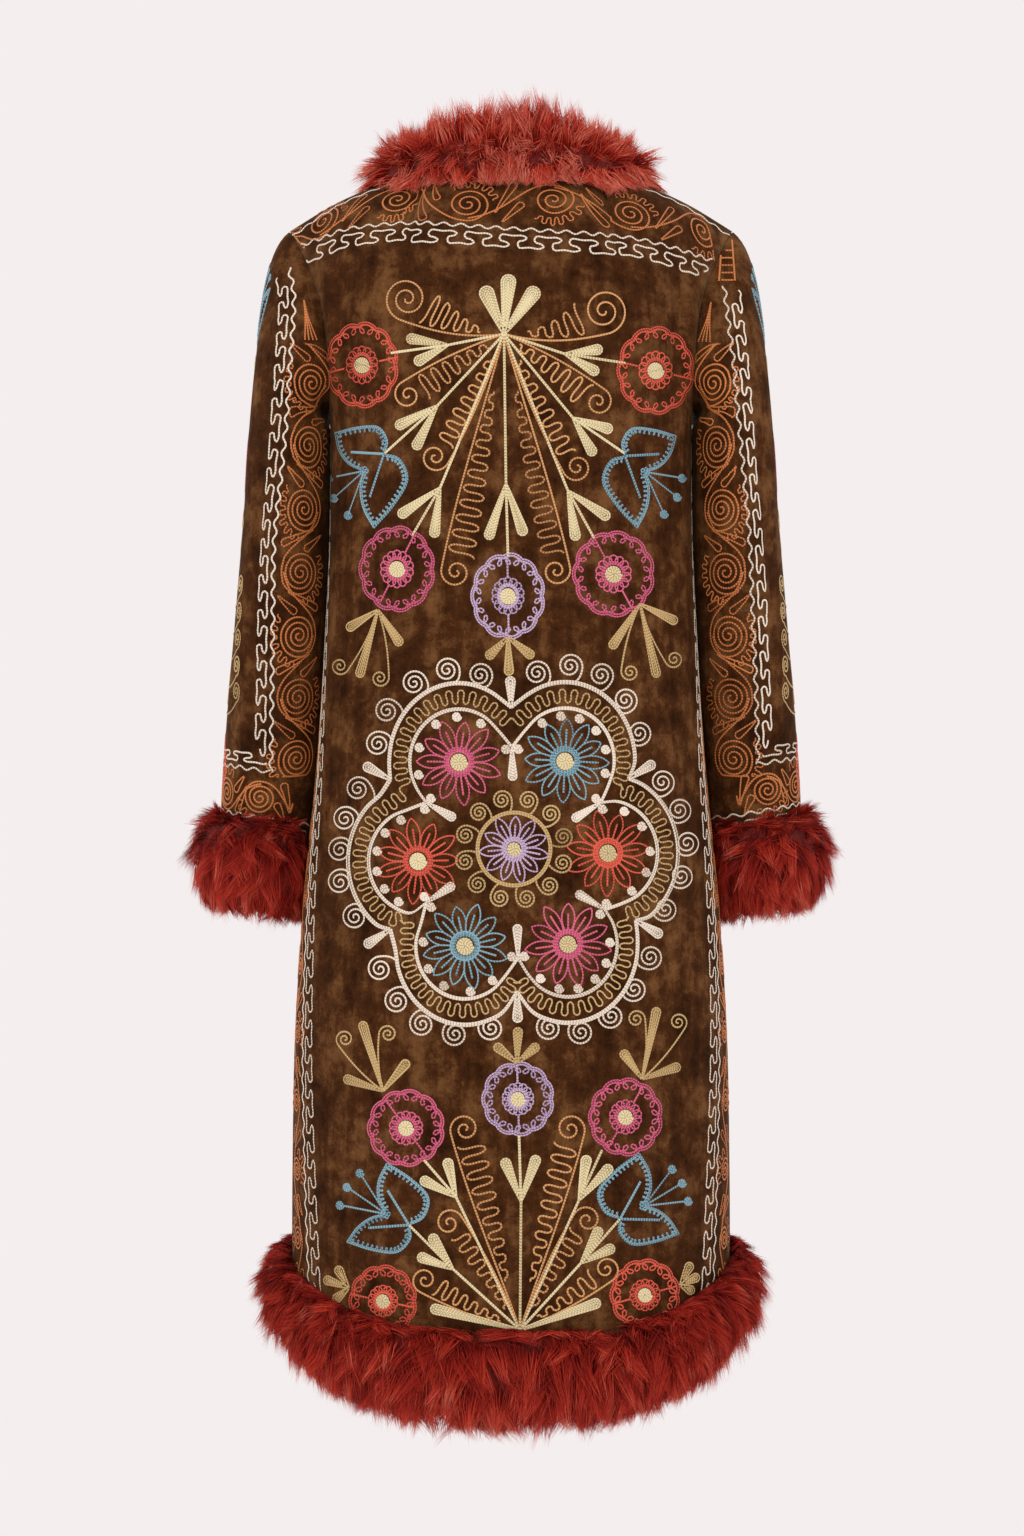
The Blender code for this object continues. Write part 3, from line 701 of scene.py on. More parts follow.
def fur_material():
    """Dyed long-haired fur: fine glossy hairs, darker at the skin as painted shade and paler at the tips as
    painted highlight.
    """
    made, tree, shader = new_material("dyed_long_hair_fur", Roughness=0.6, Sheen_Weight=0.06,
                                      Sheen_Roughness=0.4, Sheen_Tint=linear("#E09080"))
    shader.inputs["Specular IOR Level"].default_value = 0.12
    tone = node(tree, "ShaderNodeAttribute", {"attribute_name": "tone"}).outputs["Fac"]
    ramp = node(tree, "ShaderNodeValToRGB", Fac=tone)
    set_ramp(ramp, [(0.0, "#4A0905"), (0.4, "#981E14"), (0.75, "#C63C28"), (1.0, "#DC7660")])
    tree.links.new(ramp.outputs["Color"], shader.inputs["Base Color"])
    return made


def skin_material():
    """The fur's dyed skin, coloured dark as painted shade between the hairs, which is all that shows of it.
    """
    made, tree, shader = new_material("dyed_skin_and_painted_shade", Roughness=0.95)
    place = node(tree, "ShaderNodeTexCoord").outputs["Object"]
    grain = node(tree, "ShaderNodeTexNoise", Vector=place, Scale=1 / 0.003, Detail=2.0)
    ramp = node(tree, "ShaderNodeValToRGB", Fac=grain.outputs["Fac"])
    set_ramp(ramp, [(0.3, "#480B07"), (0.7, "#78190F")])
    tree.links.new(ramp.outputs["Color"], shader.inputs["Base Color"])
    return made


# Suede shells: how pale the edges are, as worn nap and painted sheen, and about how far apart the points of a
# grid are

MOST_WEAR_AND_SHEEN = 0.4
WEAR_AND_SHEEN_WIDTH = 0.006
ROW_HEIGHT = 0.010
COLUMN_WIDTH = 0.004


def edge_wear_and_sheen(grid, wrap):
    """How pale the nap is, as wear and painted sheen: most along the cut edges and seams."""
    rows, columns = grid.shape[:2]
    from_end = np.minimum(np.arange(rows), np.arange(rows)[::-1])[:, None] * ROW_HEIGHT
    from_side = np.minimum(np.arange(columns), np.arange(columns)[::-1])[None, :] * COLUMN_WIDTH
    near = from_end + 0 * from_side if wrap else np.minimum(from_end, from_side)
    return MOST_WEAR_AND_SHEEN * np.exp(-near / WEAR_AND_SHEEN_WIDTH)


def add_shell(name, grid, out, look, replaced, wrap=False):
    """A suede piece: its outer surface, and its inner surface one cloth's thickness in."""
    inner = (grid - out * CLOTH).reshape(-1, 3)
    # Paleness at the edges, partly worn nap and partly painted sheen
    rub_and_sheen = edge_wear_and_sheen(grid, wrap).ravel()
    bm = sheet_bmesh(grid, wrap_columns=wrap)
    number = bm.verts.layers.int["number"]
    wear_and_sheen = bm.verts.layers.float.new("wear_and_sheen")
    for vert in bm.verts:
        vert[wear_and_sheen] = rub_and_sheen[vert[number]]
    made = bmesh.ops.extrude_face_region(bm, geom=list(bm.faces), use_keep_orig=True)
    for vert in (v for v in made["geom"] if isinstance(v, bmesh.types.BMVert)):
        vert.co = inner[vert[number]]
    return finish_piece(bm, name, look, replaced)


def tree_of(grid, out):
    """A search tree of a piece's outer surface, whose faces point out."""
    bm = sheet_bmesh(grid)
    bm.normal_update()
    middle = grid.shape[0] // 2, grid.shape[1] // 2
    bm.faces.ensure_lookup_table()
    face = bm.faces[middle[0] * (grid.shape[1] - 1) + middle[1]]
    if face.normal.dot(out[middle]) < 0:
        bmesh.ops.reverse_faces(bm, faces=bm.faces)
        bm.normal_update()
    tree = BVHTree.FromBMesh(bm)
    bm.free()
    return tree


suede = suede_material()
fur = fur_material()
skin = skin_material()

half = half_columns()
grids, cloth, trees = {}, {}, {}
for name, across, is_back in (
    ("back", np.concatenate([-half[::-1], half[1:]]), True),
    ("front_left", half, False),
    ("front_right", -half[::-1], False),
):
    grid = panel_grid(across, is_back)
    out = panel_normals(grid, across, is_back)
    if not is_back:
        grid[..., 0] += FRONT_GAP / 2 * np.sign(across.sum()) * (1 - np.abs(across))
    grids[name] = grid
    trees[name] = tree_of(grid, out)
    cloth[name] = add_shell("suede_" + name, grid, out, suede, [name])
for name, side in (("left", 1), ("right", -1)):
    grid, angle = sleeve_grid(side)
    out = grid_normals(grid)
    out *= np.sign(out[-1, 0, 0] * side)
    out[:, 0] = out[:, -1] = unit(out[:, 0] + out[:, -1])
    grids["sleeve_" + name] = grid
    trees["sleeve_" + name] = tree_of(grid, out)
    tuck = tucked_rows(side)
    tuck_out = np.repeat(armhole_loop(side)[2][None], 2, axis=0)
    cloth["sleeve_" + name] = add_shell("suede_sleeve_" + name, np.concatenate([tuck, grid]),
                                        np.concatenate([tuck_out, out]), suede,
                                        ["sleeve_" + name, "sleeve_cap_" + name], wrap=True)

# Fur


def read_grid(grid, down, along):
    """Points of a grid at shares of its way down its rows and along its columns."""
    rows, columns = grid.shape[:2]
    r = np.clip(down, 0, 1) * (rows - 1)
    c = np.clip(along, 0, 1) * (columns - 1)
    r0 = np.minimum(r.astype(int), rows - 2)
    c0 = np.minimum(c.astype(int), columns - 2)
    fr, fc = (r - r0)[:, None], (c - c0)[:, None]
    top = grid[r0, c0] * (1 - fc) + grid[r0, c0 + 1] * fc
    low = grid[r0 + 1, c0] * (1 - fc) + grid[r0 + 1, c0 + 1] * fc
    return top * (1 - fr) + low * fr


# A lock: its hairs, their spread at the roots, and how far they draw together and stray at their ends
LOCK_HAIRS = 32
LOCK_SPREAD = 0.0050
DRAWN_TOGETHER = (0.45, 0.97)
STRAY = 0.0012
SHORTEST_LOCK = 0.82

# A hair: its width, where along it its points are, how it tapers, and how hairs differ in length and width
HAIR_WIDTH = 0.00072
HAIR_SHARES = np.array([0, 0.55, 1.0])
HAIR_TAPER = np.array([1.0, 0.85])
HAIR_LENGTHS = (0.80, 1.05)
HAIR_WIDTHS = (0.7, 1.25)

# How far the tone goes from root to tip, as painted shade at the roots and painted highlight on the tips, and
# down a band, how it differs, and its least value
TONE_TO_TIP = 0.85
TONE_DOWN = 0.28
LOCK_TONES = 0.15
HAIR_TONES = 0.12
LOWEST_TONE = 0.06


def comb_fur(name, roots, tips, locks, size, wrap, comb, longest, shade, swing, comb_from=-0.25):
    """Long hairs from a grid of roots to a grid of tips, in locks whose hairs draw together at their ends.

    Comb is how far down the band a lock's end lies past its root, the more the further down the root is. Size
    is the band's (height, length) in metres, and swing is how far the locks lean aside. Shade raises or
    lowers the tone of all the band's hairs: painted light where it is above nought, and painted shade where
    it is below.
    """
    down = random.random(locks)
    along = random.random(locks)
    lock_length = random.uniform(SHORTEST_LOCK, longest, locks)
    lock_tone = random.normal(0, LOCK_TONES, locks)
    lock_comb = comb * np.maximum(down - comb_from, 0) * random.uniform(0.5, 1.5, locks)
    lock_swing = random.normal(0, swing, locks) / size[1]
    which = np.repeat(np.arange(locks), LOCK_HAIRS)
    count = len(which)
    d = down[which] + random.normal(0, LOCK_SPREAD, count) / size[0]
    a = along[which] + random.normal(0, LOCK_SPREAD, count) / size[1]
    if wrap:
        a = a % 1
    d = np.abs(d)
    d = 1 - np.abs(1 - d)
    root = read_grid(roots, d, a)
    straight = read_grid(tips, d, a)
    own = read_grid(tips, d + lock_comb[which], a + lock_swing[which])
    lock_along = along + lock_swing
    if wrap:
        lock_along = lock_along % 1
    lock = read_grid(tips, (down + lock_comb)[which], lock_along[which])
    draw = random.uniform(*DRAWN_TOGETHER, count)[:, None]
    tip = own * (1 - draw) + lock * draw + random.normal(0, STRAY, (count, 3))
    length = (lock_length[which] * random.uniform(*HAIR_LENGTHS, count))[:, None]
    tip = root + (tip - root) * length
    handle = root + (straight - root) * 0.55
    t = HAIR_SHARES[None, :, None]
    spine = (1 - t) ** 2 * root[:, None] + 2 * t * (1 - t) * handle[:, None] + t**2 * tip[:, None]
    axis = unit(tip - root)
    level = unit(np.cross(axis, unit(straight - root) + random.normal(0, 0.45, (count, 3))))
    half_width = HAIR_WIDTH / 2 * random.uniform(*HAIR_WIDTHS, count)[:, None, None]
    sides = level[:, None] * half_width * HAIR_TAPER[None, :, None]
    places = np.concatenate([spine[:, :2] - sides, spine[:, :2] + sides, spine[:, 2:]], axis=1)
    # Painted shade at each hair's root and painted highlight at its tip, with the band's own painted light or
    # shade
    tone = HAIR_SHARES[None, :] ** 0.8 * TONE_TO_TIP + shade + TONE_DOWN * (down - 0.5)[which][:, None]
    tone = tone + lock_tone[which][:, None] + random.normal(0, HAIR_TONES, count)[:, None]
    tone = np.maximum(tone, LOWEST_TONE)
    tones = np.concatenate([tone[:, :2], tone[:, :2], tone[:, 2:]], axis=1)
    faces = np.array([(0, 2, 3), (0, 3, 1), (1, 3, 4)])
    triangles = (np.arange(count)[:, None, None] * 5 + faces[None]).reshape(-1, 3)
    joined_triangles(name, places.reshape(-1, 3), triangles, {"tone": tones.ravel()}, fur)


def band_rows(pile, top, bottom):
    """A band's outside from top to bottom as (off the cloth, up), for hairs to start or end on."""
    turn = np.linspace(QUARTER, -QUARTER, 16)
    return pile * np.cos(turn), (top + bottom) / 2 + (top - bottom) / 2 * np.sin(turn)


def add_skin(name, grid, replaced, ring):
    """The skin that the hairs stand on, inside the pile of a band."""
    bm = sheet_bmesh(grid, wrap_rows=True, wrap_columns=ring)
    if not ring:
        bmesh.ops.holes_fill(bm, edges=[e for e in bm.edges if e.is_boundary], sides=0)
    finish_piece(bm, name, skin, replaced)


# Sizes of the bands and numbers of their locks. The skins and the hairs' roots lie within the pile, at a
# share of its depth, and the tips still stand off the cloth at the band's edges.
BAND_HEIGHT = 0.11
CUFF_ROUND = 0.42
COLLAR_SIZE = (0.13, 0.50)
HEM_LOCKS_A_METRE = 1900
CUFF_LOCKS = 560
COLLAR_LOCKS = 1080

hem_skin = hem_fur_grid(*wall_profile(HEM_PILE * 0.42, HEM_FUR_TOP - 0.010, HEM_FUR_BOTTOM + 0.014))
add_skin("hem_fur_skin", hem_skin, ["hem_fur"], ring=False)
off, up = band_rows(HEM_PILE * 0.30, HEM_FUR_TOP - 0.006, HEM_FUR_BOTTOM + 0.022)
hem_roots = hem_fur_grid(off, up)
off, up = band_rows(HEM_PILE, HEM_FUR_TOP, HEM_FUR_BOTTOM)
hem_tips = hem_fur_grid(np.maximum(off, 0.006), up)
quarter_columns = hem_roots.shape[1] // 4
for name, low, high in (
    ("hem_fur_front_left", 0, quarter_columns),
    ("hem_fur_back", quarter_columns, 3 * quarter_columns),
    ("hem_fur_front_right", 3 * quarter_columns, hem_roots.shape[1] - 1),
):
    length = run_lengths(hem_roots[8, low : high + 1])[-1]
    # The hem's hairs are darkened all over as painted shade
    comb_fur(name, hem_roots[:, low : high + 1], hem_tips[:, low : high + 1], int(length * HEM_LOCKS_A_METRE),
             (BAND_HEIGHT, length), wrap=False, comb=0.30, longest=1.28, shade=-0.17, swing=0.010)

for name, side in (("left", 1), ("right", -1)):
    off, up = wall_profile(CUFF_PILE * 0.5, CUFF_FUR_TOP - 0.012, CUFF_FUR_BOTTOM + 0.012)
    add_skin("cuff_fur_skin_" + name, cuff_fur_grid(off, up, side), ["cuff_fur_" + name], ring=True)
    off, up = band_rows(CUFF_PILE * 0.35, CUFF_FUR_TOP - 0.018, CUFF_FUR_BOTTOM + 0.018)
    roots = cuff_fur_grid(off, up, side)
    off, up = band_rows(CUFF_PILE, CUFF_FUR_TOP, CUFF_FUR_BOTTOM)
    tips = cuff_fur_grid(np.maximum(off, 0.004), up, side)
    # The cuffs' hairs are darkened all over as painted shade
    comb_fur("cuff_fur_" + name + "_pile", roots, tips, CUFF_LOCKS, (BAND_HEIGHT, CUFF_ROUND), wrap=True,
             comb=0.32, longest=1.22, shade=-0.17, swing=0.014)

unders, overs = collar_grid([trees["back"], trees["front_left"], trees["front_right"]])
steps_down = np.linspace(0, 1, overs.shape[0])
across = np.linspace(0, 1, overs.shape[1])
collar_roots = np.array([read_grid(unders, 0 * across + 0.5 * down, across) for down in steps_down])
core = collar_roots + (overs - collar_roots) * 0.42
bm = sheet_bmesh(np.concatenate([core, collar_roots[::-1]]))
finish_piece(bm, "collar_fur_skin", skin, ["collar_fur"])
# The collar's hairs are lightened all over as painted light
comb_fur("collar_fur_pile", collar_roots + (overs - collar_roots) * 0.3, overs, COLLAR_LOCKS, COLLAR_SIZE,
         wrap=False, comb=0.70, longest=1.26, shade=0.09, swing=0.008, comb_from=0.64)

# Threads of the embroidery: colour in the shade at a stitch's ends, and in the light

THREADS = {
    "cream": ("#A98F5C", "#E9DBAE"),
    "white": ("#A39078", "#F2E4D2"),
    "copper": ("#8A5226", "#DCA468"),
    "orange": ("#7C3C16", "#D27E40"),
    "red": ("#96281C", "#E05C42"),
    "pink": ("#882646", "#DC6485"),
    "lilac": ("#826887", "#CDB3CF"),
    "blue": ("#3A5A68", "#88AFBA"),
    "gold": ("#8A6D3D", "#D0B077"),
}
CREAM, WHITE, COPPER, ORANGE, RED, PINK, LILAC, BLUE, GOLD = THREADS

# Widths of a sewn line in metres
STEM, LINE, FINE = 0.0022, 0.0016, 0.0013

# How finely a line is read, how far and through what angle it goes between two laid points, and the gap that
# breaks it
READ_STEP = 0.0004
LAY_STEP = 0.0040
LAY_TURN = 0.48
LAY_GAP = 0.012

# How far a thread lies off the cloth, and how high it is as a share of its width
THREAD_LIFT = 0.00015
THREAD_CROWN = 0.42

# The camera and the picture that it takes, with the size of a pixel where the back is
CAMERA_PLACE = (0, 1.7, -0.543)
PICTURE_HEIGHT = 1536
PICTURE_MIDDLE = 511 + 768j
FOCAL_PIXELS = 1848
PIXEL = 0.00092
MILLIMETRE = 0.001

# How far to either side a path is read for its heading
AIM = 0.004

# The lines that are sewn in each colour, and the hoop: how lines are drawn and laid at the moment
sewn = {name: [] for name in THREADS}
hoop = {}


def picture_hoop(name):
    """Lines are drawn in pixels of the picture, and lie where the camera sees the cloth of a piece."""
    tree = trees[name]

    def lay(line):
        found = []
        for place in line:
            off = place - PICTURE_MIDDLE
            way = Vector((-off.real / FOCAL_PIXELS, -1, -off.imag / FOCAL_PIXELS))
            hit = tree.ray_cast(Vector(CAMERA_PLACE), way)
            found.append(hit if hit[0] else None)
        return found

    hoop.update(lay=lay, pixel=PIXEL)


def border_hoop(name, path, side):
    """Lines are drawn in millimetres along and beside a path on the cloth."""
    along = run_lengths(path)
    tree = trees[name]

    def lay(line):
        found = []
        for place in line * MILLIMETRE:
            here = place_at(path, along, place.real)
            ahead = place_at(path, along, place.real + AIM) - place_at(path, along, place.real - AIM)
            ahead = unit(ahead)
            normal = np.array(tree.find_nearest(Vector(here))[1])
            beside = unit(np.cross(normal, ahead)) * side
            found.append(tree.find_nearest(Vector(here + beside * place.imag)))
        return found

    hoop.update(lay=lay, pixel=MILLIMETRE)
    return along[-1] / MILLIMETRE


def patch_hoop(name, place, right, down):
    """Lines are drawn in millimetres round one place on the cloth."""
    tree = trees[name]
    hit = tree.find_nearest(Vector(place))
    normal = np.array(hit[1])
    right = np.array(right, float)
    right = unit(right - normal * (right @ normal))
    down_way = np.cross(normal, right)
    down_way *= np.sign(down_way @ np.array(down, float))
    centre = np.array(hit[0])

    def lay(line):
        spread = centre + (np.outer(line.real, right) + np.outer(line.imag, down_way)) * MILLIMETRE
        return [tree.find_nearest(Vector(place)) for place in spread]

    hoop.update(lay=lay, pixel=MILLIMETRE)


def sew(colour, line, width=LINE):
    """Lays a line on the cloth in the hoop, and breaks it where there is none or where it would jump."""
    fine = even(np.asarray(line, complex), READ_STEP / hoop["pixel"])
    ahead = np.diff(fine)
    pace = np.abs(ahead) * hoop["pixel"] / LAY_STEP
    pace[1:] += np.abs(np.angle(ahead[1:] / ahead[:-1])) / LAY_TURN
    along = np.concatenate([[0], np.cumsum(pace)])
    line = np.interp(steps(max(3, int(along[-1]) + 2), 0, along[-1]), along, fine)
    run = []
    for hit in [*hoop["lay"](line), None]:
        if hit and (not run or (hit[0] - run[-1][0]).length < LAY_GAP):
            run.append(hit)
            continue
        if len(run) > 2:
            places = np.array([found[0] for found in run])
            normals = np.array([found[1] for found in run])
            sewn[colour].append((places, normals, width))
        run = [hit] if hit else []


# Lines drawn flat, as complex numbers with the second part downwards


def spot(place):
    return complex(*place)


def steps(count, low=0.0, high=1.0):
    return np.linspace(low, high, count)


def straight(start, end, bow=0.0):
    t = steps(24)
    return start + (end - start) * t + 1j * (end - start) * bow * 4 * t * (1 - t)


def lengths(line):
    return np.concatenate([[0], np.cumsum(np.abs(np.diff(line)))])


def even(line, step):
    along = lengths(line)
    return np.interp(steps(max(3, int(along[-1] / step) + 1), 0, along[-1]), along, line)


def smooth(stops):
    """One smooth line through a few stops."""
    stops = np.asarray(stops, complex)
    ring = np.concatenate([[2 * stops[0] - stops[1]], stops, [2 * stops[-1] - stops[-2]]])
    t = steps(16)[:-1]
    parts = []
    for a, b, c, d in zip(ring, ring[1:], ring[2:], ring[3:]):
        bend = (2 * a - 5 * b + 4 * c - d) * t**2 + (3 * b - a - 3 * c + d) * t**3
        parts.append(0.5 * (2 * b + (c - a) * t + bend))
    return np.concatenate([*parts, ring[-2:-1]])


def circle(centre, radius):
    return centre + radius * np.exp(1j * steps(int(12 + radius * 3), 0, 2 * math.pi))


def spiral(start, centre, turns, hand, inside=0.07):
    """A line that winds in from its start to its centre."""
    t = steps(int(40 * turns))
    return centre + (start - centre) * (1 - (1 - inside) * t) * np.exp(2j * math.pi * hand * turns * t)


# How far apart the rows of stitches in a petal lie
PETAL_ROW = 2.2


def leaf(base, tip, width):
    """The outline of a club-shaped leaf: narrow at its base, widest just before its round tip."""
    axis = tip - base
    ahead = axis / abs(axis)
    cap = width / 2
    t = steps(20)
    side = cap * (0.10 + 0.90 * t**0.9)
    edge = base + ahead * (abs(axis) - cap) * t
    turn = steps(15, QUARTER, -QUARTER)[1:-1]
    end = tip - ahead * cap + cap * ahead * (np.cos(turn) + 1j * np.sin(turn))
    return np.concatenate([edge + 1j * ahead * side, end, (edge - 1j * ahead * side)[::-1]])


def pointed_petal(base, tip, width):
    t = steps(40, 0, 2 * math.pi)
    along = (1 - np.cos(t)) / 2
    side = np.sin(t) * (0.42 + 0.58 * along) * (1 - along) ** 0.35
    side /= np.abs(side).max()
    axis = tip - base
    return base + axis * along + 1j * axis / abs(axis) * width / 2 * side


def filled_petal(colour, base, tip, width):
    """A petal filled with rows of stitches that follow its outline."""
    axis = (tip - base) / abs(tip - base)
    inset = 0.0
    while width - 2 * inset > 0.4:
        sew(colour, leaf(base + axis * inset * 3.2, tip - axis * inset, width - 2 * inset))
        inset += PETAL_ROW
    sew(colour, straight(base + (tip - base) * 0.25, tip - axis * width * 0.45))


def disc(colour, centre, radius, rows=1.6):
    sew(colour, spiral(centre + radius, centre, radius / rows, 1, 0.02))


def swing_unit(most):
    """One period of a line whose heading swings either way: (along 0 to 1, across -0.5 to 0.5)."""
    heading = most * np.sin(steps(49, 0, 2 * math.pi))
    step = np.exp(1j * (heading[1:] + heading[:-1]) / 2)
    line = np.concatenate([[0], np.cumsum(step)])
    across = line.imag - (line.imag.max() + line.imag.min()) / 2
    return line.real / line.real[-1], across / np.ptp(across)


def meander(line, period, heights, most):
    """A line that meanders about another: its height goes evenly from the first given to the last.

    Most is how far its heading swings from the other line's: past a quarter turn it makes loops.
    """
    turns = max(1, round(lengths(line)[-1] / period))
    along, across = swing_unit(most)
    along = np.concatenate([along[:-1] + k for k in range(turns)] + [[turns]]) / turns
    across = np.concatenate([across[:-1]] * turns + [across[-1:]])
    heights = np.atleast_1d(heights)
    heights = np.interp(along, steps(len(heights)), heights)
    fine = even(line, 0.5)
    at = np.clip(along, 0, 1) * (len(fine) - 1)
    grid = np.arange(len(fine))
    ahead = np.gradient(fine)
    heading = np.interp(at, grid, ahead / np.abs(ahead))
    return np.interp(at, grid, fine) + 1j * heading / np.abs(heading) * across * heights


def curled_line(start, curl, radius, side, turns, bow):
    """A line from a start to the side of a curl, winding in to its middle: (the run, the winding)."""
    axis = (curl - start) / abs(curl - start)
    edge = curl + 1j * axis * side * radius
    reach = abs(edge - start)
    leave = (edge - start) / reach
    first = start + reach * (0.35 * leave + 1j * axis * side * bow)
    run = bezier(start, first, edge - axis * 0.35 * reach, edge, steps(60))
    return run, spiral(edge, curl, turns, -side)[1:]


def lobe(hub, curl, radius, side, heights, period, turns, bow, foot):
    """A lobe of the sunburst: an outline that curls in at its end, and a fringe that meanders beside it."""
    run, winding = curled_line(hub, curl, radius, side, turns, bow)
    sew(COPPER, np.concatenate([run, winding]))
    reach = lengths(run)[-1]
    near = even(run, 1.0)[int(reach * foot) : int(reach - radius)]
    ahead = np.gradient(near)
    high = np.interp(steps(len(near)), steps(len(heights)), heights[::-1])
    middle = near - 1j * ahead / np.abs(ahead) * side * (high / 2 + 3)
    sew(COPPER, meander(middle, period, heights[::-1], 1.62))


# A ring flower's scallops, the loops in its outer band and those round its disc
SCALLOPS = 11
BAND_LOOPS = 2 * SCALLOPS
CROWN_LOOPS = 14


def ring_flower(colour, centre, wide, tall, stem):
    """A flower as two rings of loops about a cream disc, with a bit of its stem showing between them."""
    size = (wide + tall) / 2
    turn = steps(1500, 0, 2 * math.pi)
    outward = np.exp(1j * turn)
    swell = np.abs(np.sin(turn * SCALLOPS / 2))

    def oval(line):
        return centre + line.real * wide / size + 1j * line.imag * tall / size

    rim = size * (0.935 + 0.065 * swell**0.7)
    sew(colour, oval(rim * outward), FINE)
    sew(colour, oval((rim - 2.2) * outward), FINE)
    band = rim - 2.4 - (3.0 + 2.8 * (1 - swell) ** 1.2) * (1 - np.cos(turn * BAND_LOOPS))
    sew(colour, oval(band * outward + 1j * outward * 4.4 * np.sin(turn * BAND_LOOPS)), FINE)
    crown = size * (0.265 + 0.085 * (1 - np.cos(turn * CROWN_LOOPS)))
    sew(colour, oval(crown * outward - 1j * outward * 2.6 * np.sin(turn * CROWN_LOOPS)), FINE)
    for share in (0.235, 0.275):
        sew(colour, oval(size * share * outward[::10]))
    disc(CREAM, centre, size * 0.20)
    away = (stem - centre) / abs(stem - centre)
    for sign in (1, -1):
        sew(colour, straight(centre + away * sign * size * 0.44, centre + away * sign * size * 0.92))


def star_flower(colour, centre, radius, petals, turn):
    """A flower of pointed petals in outline, each with its core line, round a close ring and a cream disc."""
    for k in range(petals):
        way = np.exp(1j * (turn + 2 * math.pi * k / petals))
        reach = radius * (1 + 0.05 * math.cos(2.6 * k + turn * 3))
        sew(colour, pointed_petal(centre + way * radius * 0.26, centre + way * reach, radius * 0.31), FINE)
        sew(colour, straight(centre + way * radius * 0.33, centre + way * reach * 0.76))
    for share in (0.25, 0.295, 0.34):
        sew(colour, circle(centre, radius * share))
    disc(CREAM, centre, radius * 0.205)


def inner_loops(colour, edge, side):
    """Small loops sewn along the inside of a petal's edge."""
    near = even(edge, 0.5)[4:-6]
    ahead = np.gradient(near)
    ahead /= np.abs(ahead)
    phase = np.arange(len(near)) * 0.5 * 2 * math.pi / 5.0
    out = 1j * ahead * side
    sew(colour, near + out * (3.4 - 2.0 * np.cos(phase)) + ahead * 1.6 * np.sin(phase), FINE)
    sew(colour, near + out * 1.5, FINE)


def tulip(base, foot, petals, dots):
    """A tulip: two heart-shaped petals in double outline with loops inside, and stamens that end in dots.

    Each petal is its tip and the bulge of its outer and inner edge, as shares of its length.
    """
    for tip, bulge, hollow in petals:
        axis = tip - base
        aside = 1j * axis
        outer = smooth([base, base + 0.04 * axis + 0.60 * bulge * aside, base + 0.30 * axis + bulge * aside,
                        base + 0.66 * axis + 0.62 * bulge * aside, tip])
        back = foot - tip
        hollowed = 1j * back * hollow
        inner = smooth([tip, tip + 0.35 * back + hollowed, tip + 0.7 * back + hollowed, foot])
        side = -1 if bulge > 0 else 1
        for edge in (outer, inner):
            sew(BLUE, edge, FINE)
            inner_loops(BLUE, edge, side)
        sew(BLUE, straight(base, base + ((tip + foot) / 2 - base) * 0.95), STEM)
    for dot in dots:
        sew(BLUE, straight(foot, dot))
        disc(BLUE, dot, 4.3, 1.5)
    for turn in range(5):
        sew(BLUE, circle(foot + 2.8 * np.exp(1.256j * turn), 1.6), FINE)


def sprig(base, tips, curls, side):
    """A sprig of filled leaves in gold with curled tendrils."""
    for tip in tips:
        filled_petal(GOLD, base, spot(tip), 8.5)
    for curl in curls:
        sew(GOLD, np.concatenate(curled_line(base, spot(curl), 9, side, 1.9, 0.06)))


# The two sunbursts on the back, in pixels of the picture

picture_hoop("back")
UPPER_HUB = 504 + 334j
LOWER_HUB = 520 + 1330j
for tip in (484 + 287j, 509 + 275j, 537 + 288j):
    filled_petal(CREAM, UPPER_HUB, tip, 14)

# Stems with a fork of two leaves: hub, fork, tips of the leaves, end
STEMS = [
    (UPPER_HUB, (448, 345), ((407, 338), (415, 363)), (391, 353)),
    (UPPER_HUB, (565, 354), ((602, 349), (598, 373)), (625, 363)),
    (UPPER_HUB, (437, 406), ((396, 427), (415, 449)), (385, 453)),
    (UPPER_HUB, (573, 418), ((612, 430), (594, 455)), (624, 453)),
    (UPPER_HUB, (440, 488), ((399, 516), (434, 537)), (412, 536)),
    (UPPER_HUB, (568, 491), ((609, 518), (576, 540)), (594, 538)),
    (UPPER_HUB, (506, 484), ((488, 539), (524, 535)), (508, 556)),
    (LOWER_HUB, (521, 1201), ((504, 1159), (537, 1156)), (519, 1135)),
    (LOWER_HUB, (456, 1197), ((421, 1179), (447, 1159)), (424, 1160)),
    (LOWER_HUB, (579, 1200), ((587, 1156), (611, 1166)), (602, 1150)),
    (LOWER_HUB, (453, 1269), ((431, 1235), (418, 1256)), (409, 1225)),
    (LOWER_HUB, (581, 1263), ((600, 1228), (614, 1247)), (620, 1219)),
]
for hub, fork, tips, end in STEMS:
    sew(CREAM, straight(hub, spot(fork)), STEM)
    sew(CREAM, straight(spot(fork), spot(end)), STEM)
    for tip in tips:
        filled_petal(CREAM, spot(fork), spot(tip), 9.5)

